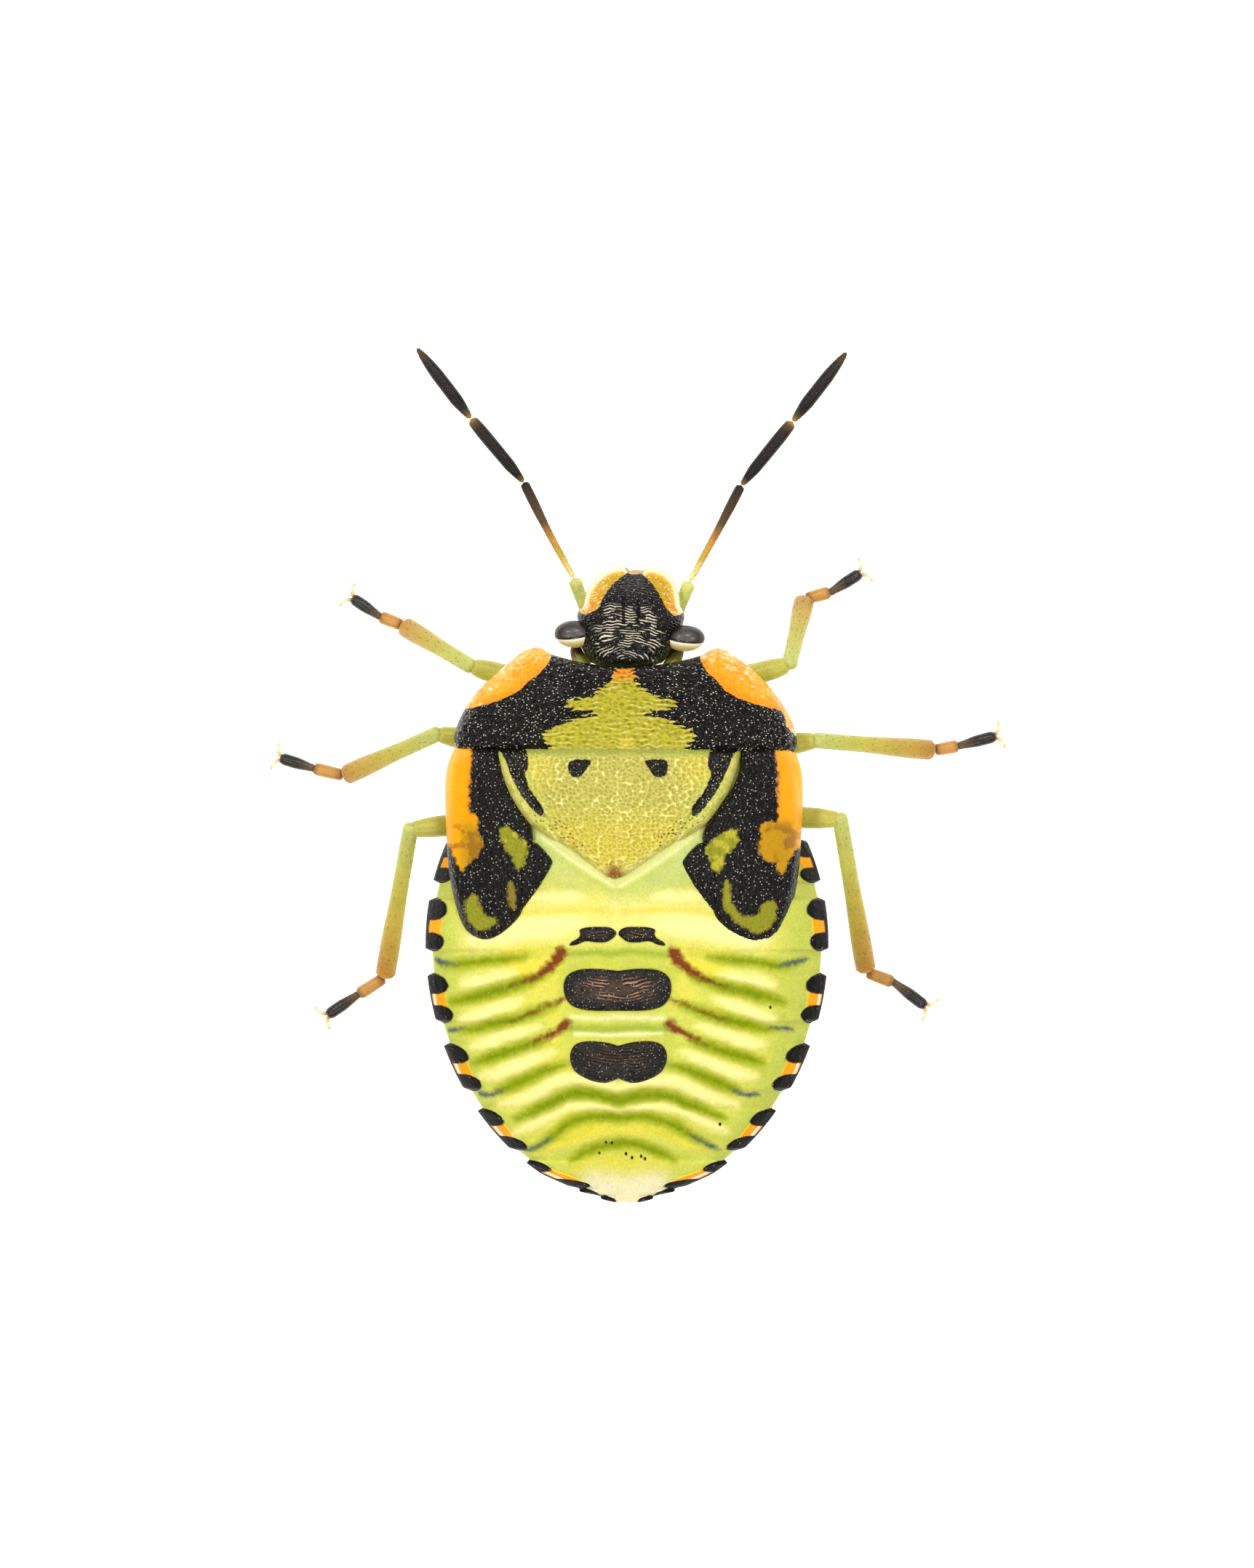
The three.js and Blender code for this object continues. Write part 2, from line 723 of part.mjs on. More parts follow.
let headSolid = solidFrom(headSkin());
for (const side of [-1, 1])
  headSolid = headSolid.subtract(solidFrom(eyeBall(side, eyeClearance)));
for (const [side, joints] of Object.entries(feelers)) {
  const points = joints.map(vector);
  points.slice(0, -1).forEach((joint, i) => {
    const last = i === points.length - 2;
    const [from, to] = drawnBack(joint, points[i + 1], i ? gap / 2 : 0, last ? 0 : gap / 2);
    const endRadius = last ? feelerTipRadius : feelerRadius;
    const look = material(i ? colours.dark : colours.limb, 0.4);
    const piece = limb("antenna_" + side + "_" + (i + 1), from, to, feelerRadius, endRadius, look);
    group.add(piece);
    if (i > 0) return;
    const clear = feelerRadius + gap;
    const around = turned(from.distanceTo(to) + gap, [[0, clear], [1, clear]], limbSides);
    const holder = placeAlong(new THREE.Mesh(around), from, to);
    headSolid = headSolid.subtract(solidFrom(around, toHead.clone().multiply(holder.matrixWorld)));
  });
}
add("head", geometryFrom(headSolid), material(colours.black, 0.45), headGroup);
add("eye_left", eyeBall(1), material(colours.dark, 0.15), headGroup);
add("eye_right", eyeBall(-1), material(colours.dark, 0.15), headGroup);

// The beak, folded back along the breast between the hips
const beak = { from: [0, -3.75, 1.3], to: [0, 0.4, 1.22], startRadius: 0.26, endRadius: 0.2 };
const beakEnds = [beak.from, beak.to].map(vector);
group.add(limb("beak", ...beakEnds, beak.startRadius, beak.endRadius, limbLook()));

export default group;
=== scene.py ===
import math
import bpy
import bmesh
import numpy as np
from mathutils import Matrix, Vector


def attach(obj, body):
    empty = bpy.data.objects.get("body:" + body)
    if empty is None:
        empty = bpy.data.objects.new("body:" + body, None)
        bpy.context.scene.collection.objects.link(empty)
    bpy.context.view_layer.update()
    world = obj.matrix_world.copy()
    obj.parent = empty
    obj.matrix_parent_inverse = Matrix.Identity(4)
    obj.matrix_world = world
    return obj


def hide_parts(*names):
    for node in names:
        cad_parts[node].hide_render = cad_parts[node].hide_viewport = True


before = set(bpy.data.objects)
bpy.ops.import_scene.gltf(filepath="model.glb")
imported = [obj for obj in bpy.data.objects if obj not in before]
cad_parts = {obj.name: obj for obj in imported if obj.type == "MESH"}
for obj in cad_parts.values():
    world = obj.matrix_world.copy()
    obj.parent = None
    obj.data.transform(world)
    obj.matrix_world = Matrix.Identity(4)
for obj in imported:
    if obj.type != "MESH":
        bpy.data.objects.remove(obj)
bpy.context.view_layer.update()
mm = 0.001                         # shapes below are worked out in millimetres


# Numbers along a line, and noise

def curveThrough(pairs):
    # A smooth curve through (position, value) pairs: cubic pieces whose slopes are the harmonic
    # mean of the steepness on both sides, so that it never overshoots.
    p = np.array([a for a, _ in pairs], float)
    v = np.array([b for _, b in pairs], float)
    steep = np.diff(v) / np.diff(p)
    before = np.concatenate([steep[:1], steep])
    after = np.concatenate([steep, steep[-1:]])
    same = before * after > 0
    slope = np.where(same, 2 * before * after / np.where(same, before + after, 1), 0)

    def value(at):
        at = np.clip(np.asarray(at, float), p[0], p[-1])
        i = np.clip(np.searchsorted(p, at, side="right") - 1, 0, len(p) - 2)
        span = p[i + 1] - p[i]
        t = (at - p[i]) / span
        s = 1 - t
        return (v[i] * s * s * (1 + 2 * t) + slope[i] * span * s * s * t
                + v[i + 1] * t * t * (3 - 2 * t) - slope[i + 1] * span * t * t * s)
    return value


def smooth(low, high, x):
    # 0 below low, 1 above high, an S between them
    t = np.clip((np.asarray(x, float) - low) / (high - low), 0, 1)
    return t * t * (3 - 2 * t)


def lattice(ix, iy, seed):
    # A number in 0..1 for each whole-number cell, mixed from its two indices and the seed
    h = (ix.astype(np.int64) * 374761393 + iy.astype(np.int64) * 668265263 + seed * 974711) & 0xFFFFFFFF
    h = ((h ^ (h >> 13)) * 1274126177) & 0xFFFFFFFF
    return ((h ^ (h >> 16)) & 0xFFFF) / 65535.0


def noise(x, y, seed=0):
    # Smooth noise in 0..1: the four corner numbers of a cell blended by S curves
    ix, iy = np.floor(x), np.floor(y)
    fx, fy = x - ix, y - iy
    sx, sy = fx * fx * (3 - 2 * fx), fy * fy * (3 - 2 * fy)
    a, b = lattice(ix, iy, seed), lattice(ix + 1, iy, seed)
    c, d = lattice(ix, iy + 1, seed), lattice(ix + 1, iy + 1, seed)
    return (a * (1 - sx) + b * sx) * (1 - sy) + (c * (1 - sx) + d * sx) * sy


def layered(x, y, seed):
    # Noise added to itself at twice the pace and half the strength, four times over, in 0..1
    total, weight = 0, 0
    for k in range(4):
        total = total + noise(x * 2 ** k, y * 2 ** k, seed + 17 * k) * 0.5 ** k
        weight += 0.5 ** k
    return total / weight


def spots(x, y, cell, seed, jitter=0.8):
    # Distance, in cells, to the nearest of points scattered one to a cell, and that point's own number
    gx, gy = x / cell, y / cell
    ix, iy = np.floor(gx), np.floor(gy)
    best = np.full(np.shape(gx), 9.0)
    own = np.zeros(np.shape(gx))
    for dx in (-1, 0, 1):
        for dy in (-1, 0, 1):
            px = ix + dx + 0.5 + jitter * (lattice(ix + dx, iy + dy, seed) - 0.5)
            py = iy + dy + 0.5 + jitter * (lattice(ix + dx, iy + dy, seed + 5) - 0.5)
            d = np.hypot(gx - px, gy - py)
            near = d < best
            best = np.where(near, d, best)
            own = np.where(near, lattice(ix + dx, iy + dy, seed + 9), own)
    return best, own


def smoothLine(points, closed=False, steps=6):
    # Extra points on a Catmull-Rom curve through the given ones
    p = np.array(points, float)
    if closed:
        q = np.vstack([p[-1:], p, p[:2]])
    else:
        q = np.vstack([2 * p[:1] - p[1:2], p, 2 * p[-1:] - p[-2:-1]])
    t = np.linspace(0, 1, steps, endpoint=False)[None, :, None]
    a, b, c, d = q[:-3, None], q[1:-2, None], q[2:-1, None], q[3:, None]
    curve = 0.5 * (2 * b + (c - a) * t + (2 * a - 5 * b + 4 * c - d) * t ** 2
                   + (3 * b - a - 3 * c + d) * t ** 3)
    curve = curve.reshape(-1, p.shape[1])
    return curve if closed else np.vstack([curve, p[-1:]])


def lineDistance(x, y, line):
    # Distance from every point to a line of short straight pieces
    best = np.full(np.shape(x), 1e9)
    for (ax, ay), (bx, by) in zip(line[:-1], line[1:]):
        dx, dy = bx - ax, by - ay
        t = np.clip(((x - ax) * dx + (y - ay) * dy) / (dx * dx + dy * dy + 1e-12), 0, 1)
        best = np.minimum(best, (x - ax - t * dx) ** 2 + (y - ay - t * dy) ** 2)
    return np.sqrt(best)


def inside(x, y, outline):
    # Distance to a closed outline, positive inside it: the sign comes from counting crossings
    line = smoothLine(outline, True, 5)
    ring = np.vstack([line, line[:1]])
    odd = np.zeros(np.shape(x), bool)
    for (ax, ay), (bx, by) in zip(ring[:-1], ring[1:]):
        crosses = (ay > y) != (by > y)
        odd ^= crosses & (x < (bx - ax) * (y - ay) / (by - ay if by != ay else 1e-12) + ax)
    return np.where(odd, 1, -1) * lineDistance(x, y, ring)


def stroke(x, y, points, width, soft):
    # 1 on a soft-edged stroke along a smooth line, 0 away from it
    d = lineDistance(x, y, smoothLine(points))
    return 1 - smooth(width / 2 - soft / 2, width / 2 + soft / 2, d)


# Meshes from grids

def meshObject(name, verts, faces, layers=None, paint=None, merge=0.0):
    # verts in millimetres; layers holds one number a vertex, paint one colour a vertex
    mesh = bpy.data.meshes.new(name)
    mesh.vertices.add(len(verts))
    mesh.vertices.foreach_set("co", (np.asarray(verts, np.float32) * mm).ravel())
    faces = np.asarray(faces, np.int32)
    mesh.loops.add(faces.size)
    mesh.loops.foreach_set("vertex_index", faces.ravel())
    mesh.polygons.add(len(faces))
    mesh.polygons.foreach_set("loop_start", np.arange(0, faces.size, 4, dtype=np.int32))
    mesh.polygons.foreach_set("loop_total", np.full(len(faces), 4, np.int32))
    mesh.update(calc_edges=True)
    for layerName, values in (layers or {}).items():
        layer = mesh.attributes.new(layerName, "FLOAT", "POINT")
        layer.data.foreach_set("value", np.ascontiguousarray(values, np.float32).ravel())
    if paint is not None:
        layer = mesh.attributes.new("paint", "FLOAT_COLOR", "POINT")
        rgba = np.ones((len(verts), 4), np.float32)
        rgba[:, :3] = np.reshape(paint, (-1, 3))
        layer.data.foreach_set("color", rgba.ravel())
    if merge:
        bm = bmesh.new()
        bm.from_mesh(mesh)
        bmesh.ops.remove_doubles(bm, verts=bm.verts, dist=merge * mm)
        bmesh.ops.dissolve_degenerate(bm, edges=bm.edges, dist=1e-9)
        bmesh.ops.recalc_face_normals(bm, faces=bm.faces)
        bm.to_mesh(mesh)
        bm.free()
    mesh.polygons.foreach_set("use_smooth", np.ones(len(mesh.polygons), bool))
    obj = bpy.data.objects.new(name, mesh)
    bpy.context.collection.objects.link(obj)
    return obj


def gridFaces(rows, columns, wrap=False, first=0):
    # Four-cornered faces over rows x columns vertices; wrap joins the last column to the first
    i = np.arange(rows - 1)[:, None]
    j = np.arange(columns if wrap else columns - 1)[None, :]
    k = (j + 1) % columns
    a, b = i * columns + j, i * columns + k
    c, d = (i + 1) * columns + k, (i + 1) * columns + j
    return first + np.stack([a, b, c, d], -1).reshape(-1, 4)


def pillow(name, x, y, top, bottom, layers, paint):
    # A closed plate: an upper and a lower sheet on one grid, which meet along the edge
    rows, columns = x.shape
    upper = np.stack([x, y, top], -1).reshape(-1, 3)
    lower = np.stack([x, y, bottom], -1).reshape(-1, 3)
    faces = np.vstack([gridFaces(rows, columns), gridFaces(rows, columns, first=rows * columns)[:, ::-1]])
    both = {k: np.concatenate([v.ravel(), v.ravel()]) for k, v in layers.items()}
    twice = np.vstack([paint.reshape(-1, 3)] * 2)
    return meshObject(name, np.vstack([upper, lower]), faces, both, twice, merge=0.0004)


def tubeGrid(path, radii, sides, flat=1.0):
    # Rings across a path: each ring lies in the plane square to the path, flattened upwards
    path = np.asarray(path, float)
    tangent = np.gradient(path, axis=0)
    tangent /= np.linalg.norm(tangent, axis=1)[:, None]
    side = np.cross(tangent, (0.0, 0.0, 1.0))
    side /= np.linalg.norm(side, axis=1)[:, None] + 1e-9
    upward = np.cross(side, tangent)
    angle = np.linspace(0, 2 * np.pi, sides, endpoint=False)
    r = np.asarray(radii)[:, None, None]
    ring = (side[:, None] * np.cos(angle)[None, :, None]
            + upward[:, None] * np.sin(angle)[None, :, None] * flat)
    return path[:, None] + ring * r


def joined(name, grids, paint, layers=None):
    # Several wrapped grids as one mesh; each grid's ends have shrunk to a point
    verts, faces, first = [], [], 0
    for g in grids:
        rows, columns = g.shape[:2]
        verts.append(g.reshape(-1, 3))
        faces.append(gridFaces(rows, columns, True, first))
        first += rows * columns
    return meshObject(name, np.vstack(verts), np.vstack(faces), layers, paint, merge=0.0006)


# Colours

def srgb(text):
    # A colour written as six hex digits, as the linear numbers that materials want
    c = np.array([int(text[i:i + 2], 16) for i in (0, 2, 4)]) / 255
    return np.where(c <= 0.04045, c / 12.92, ((c + 0.055) / 1.055) ** 2.4)


colours = {name: srgb(text) for name, text in {
    # dark shell and spots
    "black": "14110e", "soot": "231d17", "bark": "5c4426", "umber": "7c4a20", "brown": "8a4a16",
    "russet": "7a3c14", "slate": "4b5a5a", "eyeDark": "2a1c18", "eyeReflection": "6d6a68",
    # orange and gold markings
    "orange": "eda00a", "amber": "e8861a", "honey": "f3b83c", "gold": "c69a0e", "ochreDark": "b78a14",
    "tan": "c08a3c", "copper": "c08e68", "ochreLimb": "bd9f3c", "amberLimb": "b98630",
    # greens
    "olive": "b5ab2e", "oliveLight": "bfb656", "moss": "8d8c1e", "lime": "aebb1c", "limeDeep": "939f08",
    "fern": "768a06", "leaf": "7f9f22", "pale": "bfc765", "mist": "bcc576", "pistachio": "bcc252",
    "sage": "a9ad4e", "limb": "bcb44c", "leafPale": "b9be66",
    # yellows and near whites
    "ochre": "dcc41e", "yolk": "f2d637", "butter": "cdcf58", "straw": "dccf7a", "custard": "fae997",
    "cream": "f7ec9a", "honeyPale": "f0d890", "ivory": "f9f2c4", "shell": "f0e4bb", "white": "f5efe0",
    # crest is the colour of painted highlights on wrinkle crests, glint that of painted glints
    "crest": "ddd3b8", "glint": "cfc8b8", "hairPale": "8a7850", "hairDark": "4a3c28"}.items()}


def plain(x, name):
    # One colour at every vertex
    return np.ones(x.shape + (3,)) * colours[name]


def laid(base, *coats):
    # Coats of paint laid over each other: each is a colour's name and its share at every vertex
    for name, share in coats:
        base = base * (1 - share[..., None]) + colours[name] * share[..., None]
    return base


def alongColours(t, stops):
    # Colours mixed between named ones, each placed at a share of a limb's length
    at = [a for a, _ in stops]
    rgb = np.array([colours[name] for _, name in stops])
    return np.stack([np.interp(t, at, rgb[:, k]) for k in range(3)], -1)


# Shapes of the body, in millimetres, as the solids have them

body = {"halfWidth": 4.02, "widestY": 3.3, "tailY": 8.53, "behind": 5.24, "before": 4.7,
        "fullness": 0.5556, "backFall": 0.8, "tipDraw": 0.12}
ridge = curveThrough([(-2.6, 3.5), (-1.6, 4.0), (-0.5, 4.25), (0.8, 4.4), (3.5, 4.35), (5.2, 4.2),
                      (6.6, 3.8), (7.7, 3.2), (8.55, 2.55)])
plateRim = curveThrough([(-2.6, 2.75), (-0.5, 2.9), (1.0, 2.95), (8.55, 2.9)])
abdomenRim = curveThrough([(1.2, 2.3), (2.0, 2.4), (3.4, 2.68), (4.6, 2.72), (8.55, 2.45)])
abdomenBelly = curveThrough([(1.2, 1.5), (2.2, 1.15), (3.6, 1.0), (5.2, 1.05), (6.8, 1.4), (7.8, 1.85),
                             (8.55, 2.3)])
midline = curveThrough([(-2.4, 0.03), (-0.6, 0.17), (1.0, 0.19), (6.0, 0.18), (8.55, 0)])
plateHalfWidth = curveThrough([(-2.6, 1.85), (-1.7, 2.97), (-1.26, 3.3), (-0.86, 3.46), (-0.39, 3.48),
                               (0.5, 3.64), (1.4, 3.66), (3.3, 3.7)])


def abdomenHalfWidth(y):
    # The half width falls from its widest place as a power of (1 - share of the way squared)
    reach = np.where(y > body["widestY"], body["behind"], body["before"])
    t = np.minimum(np.abs(y - body["widestY"]) / reach, 1)
    return body["halfWidth"] * (1 - t * t) ** body["fullness"]


def abdomenRimHalf(y):
    # The outline of the abdomen draws in a little before its blunt tip
    return abdomenHalfWidth(y) - body["tipDraw"] * smooth(7.9, 8.2, y) * (1 - 0.4 * smooth(8.4, 8.5, y))


def backHeight(x, y):
    # The back falls from its ridge to the rim as a power of (1 - share across squared)
    across = np.minimum(np.abs(x - midline(y)) / plateHalfWidth(y), 1)
    return plateRim(y) + (ridge(y) - plateRim(y)) * (1 - across ** 2) ** body["backFall"]


# Shader building blocks

perMm = {"edge": 9, "fine": 22, "broad": 3, "hair": 2}       # noise features in a millimetre


def group(name, inputs, outputs):
    # A node group from (name, kind of socket, default) inputs and (name, kind) outputs
    tree = bpy.data.node_groups.new(name, "ShaderNodeTree")
    for socketName, kind, default in inputs:
        socket = tree.interface.new_socket(socketName, in_out="INPUT", socket_type="NodeSocket" + kind)
        socket.default_value = default
    for socketName, kind in outputs:
        tree.interface.new_socket(socketName, in_out="OUTPUT", socket_type="NodeSocket" + kind)
    return tree, tree.nodes.new("NodeGroupInput"), tree.nodes.new("NodeGroupOutput")


def mathNode(tree, operation, a, b=None, c=None, clamp=False):
    # A maths node; each input is a socket or a number
    n = tree.nodes.new("ShaderNodeMath")
    n.operation = operation
    n.use_clamp = clamp
    for socket, value in zip(n.inputs, (a, b, c)):
        if value is None:
            continue
        if isinstance(value, (int, float)):
            socket.default_value = value
        else:
            tree.links.new(value, socket)
    return n.outputs[0]


def colourMix(tree, share, a, b):
    # Two colours mixed by a share; each input is a socket, a number or a colour
    n = tree.nodes.new("ShaderNodeMix")
    n.data_type = "RGBA"
    for socket, value in ((n.inputs[0], share), (n.inputs[6], a), (n.inputs[7], b)):
        if isinstance(value, (int, float)):
            socket.default_value = value
        elif isinstance(value, bpy.types.NodeSocket):
            tree.links.new(value, socket)
        else:
            socket.default_value = (*value, 1)
    return n.outputs[2]


def objectNoise(tree, pace, detail=3.0, kind="noise"):
    # A noise or cell texture on the object's own coordinates, with so many features a millimetre
    coord = tree.nodes.new("ShaderNodeTexCoord")
    mapping = tree.nodes.new("ShaderNodeMapping")
    mapping.inputs["Scale"].default_value = [pace / mm] * 3
    tree.links.new(coord.outputs["Object"], mapping.inputs["Vector"])
    tex = tree.nodes.new("ShaderNodeTexNoise" if kind == "noise" else "ShaderNodeTexVoronoi")
    tex.inputs["Scale"].default_value = 1.0
    if kind == "noise":
        tex.inputs["Detail"].default_value = detail
    tree.links.new(mapping.outputs[0], tex.inputs["Vector"])
    return tex.outputs["Fac" if kind == "noise" else "Distance"]


def smoothRamp(tree, value, low, high):
    # An S curve from one bound to the other, between 0 and 1
    ramp = tree.nodes.new("ShaderNodeMapRange")
    ramp.interpolation_type = "SMOOTHSTEP"
    tree.links.new(value, ramp.inputs["Value"])
    tree.links.new(low, ramp.inputs["From Min"])
    tree.links.new(high, ramp.inputs["From Max"])
    return ramp


def makeEdgeGroup():
    # A mask from a distance: noise shifts the distance, then an S curve makes the edge
    inputs = [("Distance", "Float", 0.0), ("Ragged", "Float", 0.05), ("Soft", "Float", 0.03)]
    tree, gin, gout = group("brokenEdge", inputs, [("Mask", "Float")])
    shift = mathNode(tree, "SUBTRACT", objectNoise(tree, perMm["edge"], 4), 0.5)
    moved = mathNode(tree, "MULTIPLY_ADD", shift, gin.outputs["Ragged"], gin.outputs["Distance"])
    low, high = (mathNode(tree, "MULTIPLY", gin.outputs["Soft"], half) for half in (-0.5, 0.5))
    tree.links.new(smoothRamp(tree, moved, low, high).outputs[0], gout.inputs["Mask"])
    return tree


def makeGrainGroup():
    # Fine skin grain: a bright and dark speckle for the colour and a height for the bump
    inputs = [("Colour", "Color", (0.5, 0.5, 0.5, 1)), ("Strength", "Float", 0.25)]
    tree, gin, gout = group("skinGrain", inputs, [("Colour", "Color"), ("Height", "Float")])
    fine, broad = objectNoise(tree, perMm["fine"]), objectNoise(tree, perMm["broad"])
    both = mathNode(tree, "MULTIPLY_ADD", fine, 0.6, mathNode(tree, "MULTIPLY", broad, 0.4))
    swing = mathNode(tree, "MULTIPLY", mathNode(tree, "SUBTRACT", both, 0.5), gin.outputs["Strength"])
    hsv = tree.nodes.new("ShaderNodeHueSaturation")
    tree.links.new(mathNode(tree, "MULTIPLY_ADD", swing, 4.0, 1.0), hsv.inputs["Value"])
    tree.links.new(gin.outputs["Colour"], hsv.inputs["Color"])
    tree.links.new(hsv.outputs[0], gout.inputs["Colour"])
    tree.links.new(fine, gout.inputs["Height"])
    return tree


def makeGlintDotsGroup():
    # Painted glints: small round dots scattered over the surface, a mask from the distance to the nearest
    # cell point, and a height that also makes each a small bump
    inputs = [("PerMetre", "Float", 10000.0), ("Stretch", "Vector", (1, 1, 1)), ("Radius", "Float", 0.25)]
    tree, gin, gout = group("paintedGlintDots", inputs, [("Mask", "Float"), ("Height", "Float")])
    coord = tree.nodes.new("ShaderNodeTexCoord")
    scaled = tree.nodes.new("ShaderNodeVectorMath")
    scaled.operation = "MULTIPLY"
    tree.links.new(coord.outputs["Object"], scaled.inputs[0])
    tree.links.new(gin.outputs["Stretch"], scaled.inputs[1])
    cells = tree.nodes.new("ShaderNodeTexVoronoi")
    tree.links.new(scaled.outputs[0], cells.inputs["Vector"])
    tree.links.new(gin.outputs["PerMetre"], cells.inputs["Scale"])
    core = mathNode(tree, "MULTIPLY", gin.outputs["Radius"], 0.6)
    ramp = smoothRamp(tree, cells.outputs["Distance"], core, gin.outputs["Radius"])
    ramp.inputs["To Min"].default_value = 1.0
    ramp.inputs["To Max"].default_value = 0.0
    tree.links.new(ramp.outputs[0], gout.inputs["Mask"])
    tree.links.new(mathNode(tree, "SUBTRACT", 1.0, cells.outputs["Distance"]), gout.inputs["Height"])
    return tree


glintDotsGroup = makeGlintDotsGroup()
edgeGroup = makeEdgeGroup()
grainGroup = makeGrainGroup()


def place(tree, groupTree, **values):
    # A group's node in a material, with each input linked to a socket or set to a value
    n = tree.nodes.new("ShaderNodeGroup")
    n.node_tree = groupTree
    for key, value in values.items():
        if isinstance(value, bpy.types.NodeSocket):
            tree.links.new(value, n.inputs[key])
        else:
            n.inputs[key].default_value = value
    return n


def attribute(tree, name, colour=False):
    # A number or a colour that the mesh holds at its vertices
    n = tree.nodes.new("ShaderNodeAttribute")
    n.attribute_name = name
    return n.outputs["Color" if colour else "Fac"]


plainLook = {"grain": 0.25, "bump": 0.01, "rough": 0.4, "gloss": 0.5, "coat": 0.0, "coatRough": 0.15,
             "flesh": 0.0, "depth": 0.3, "fleshColours": (1.0, 0.8, 0.35), "marks": (), "dots": (),
             "dotsOn": "dark", "dotHeight": 1.5, "pebbleHeight": -1.6}


def shellMaterial(name, changes):
    # A skin: painted colour under grain, marks from distances, fine dots of painted glint, and a glossy
    # coat.
    # marks lists (layer, colour, ragged, soft) in the order they are laid; dots keep to the first mark
    # unless dotsOn says all; pits is (layer, colour, strength), and pebble so many cells a millimetre.
    look = {**plainLook, **changes}
    material = bpy.data.materials.new(name)
    material.use_nodes = True
    tree = material.node_tree
    bsdf = tree.nodes["Principled BSDF"]
    grain = place(tree, grainGroup, Colour=attribute(tree, "paint", True), Strength=look["grain"])
    colour = grain.outputs["Colour"]
    dark = None
    for layerName, markColour, ragged, soft in look["marks"]:
        edge = place(tree, edgeGroup, Distance=attribute(tree, layerName), Ragged=ragged, Soft=soft)
        colour = colourMix(tree, edge.outputs[0], colour, colours[markColour])
        dark = dark or edge.outputs[0]
    if "pits" in look:
        layerName, pitColour, strength = look["pits"]
        share = mathNode(tree, "MULTIPLY", attribute(tree, layerName), strength, clamp=True)
        colour = colourMix(tree, share, colour, colours[pitColour])
    height = grain.outputs["Height"]
    # each dot lays a painted glint over the colour and adds a small bump
    for pace, stretch, radius, glintColour, strength in look["dots"]:
        dots = place(tree, glintDotsGroup, PerMetre=pace / mm, Stretch=stretch, Radius=radius)
        share = mathNode(tree, "MULTIPLY", dots.outputs["Mask"], strength)
        if dark is not None and look["dotsOn"] == "dark":
            share = mathNode(tree, "MULTIPLY", share, dark)
        colour = colourMix(tree, share, colour, colours[glintColour])
        height = mathNode(tree, "MULTIPLY_ADD", dots.outputs["Height"], look["dotHeight"], height)
    tree.links.new(colour, bsdf.inputs["Base Color"])
    if "pebble" in look:
        cells = objectNoise(tree, look["pebble"], kind="cells")
        height = mathNode(tree, "ADD", height, mathNode(tree, "MULTIPLY", cells, look["pebbleHeight"]))
    bump = tree.nodes.new("ShaderNodeBump")
    bump.inputs["Distance"].default_value = look["bump"] * mm
    bump.inputs["Strength"].default_value = 1.0
    tree.links.new(height, bump.inputs["Height"])
    tree.links.new(bump.outputs[0], bsdf.inputs["Normal"])
    for socketName, value in {"Roughness": look["rough"], "Specular IOR Level": look["gloss"],
                              "Subsurface Weight": look["flesh"], "Subsurface Radius": look["fleshColours"],
                              "Subsurface Scale": look["depth"] * mm, "Coat Weight": look["coat"],
                              "Coat Roughness": look["coatRough"]}.items():
        bsdf.inputs[socketName].default_value = value
    return material


def finishPiece(obj, material, slotName, *nodes):
    # Its material, its body, and the solids that it stands in for; slotName is not used
    obj.data.materials.append(material)
    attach(obj, "root")
    if nodes:
        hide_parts(*nodes)
    return obj


print("abdomen")
abdomen = {"rings": 268, "topSides": 312, "underSides": 52, "frontY": 0.75, "roundTop": 1.5,
           "roundUnder": 1.15, "crowdedRim": 0.55, "evenRim": 0.45, "crowdedTail": 1.12, "middle": 0.2,
           "notch": 0.14, "plateRise": 0.05, "plateSoft": 0.06, "bandStart": 0.25, "bandEnd": 0.3,
           "limeWider": 0.035, "coreNarrower": 0.075, "speckSize": 0.028,
           "creamFold": 0.03, "limeFold": 0.035, "creases": 0.012,
           "plates": [(1.25, 2.14), (2.42, 3.5), (3.92, 4.92), (5.32, 6.28), (6.62, 7.48), (7.66, 8.24),
                      (8.23, 8.37), (8.4, 8.5)]}      # where each side plate starts and ends

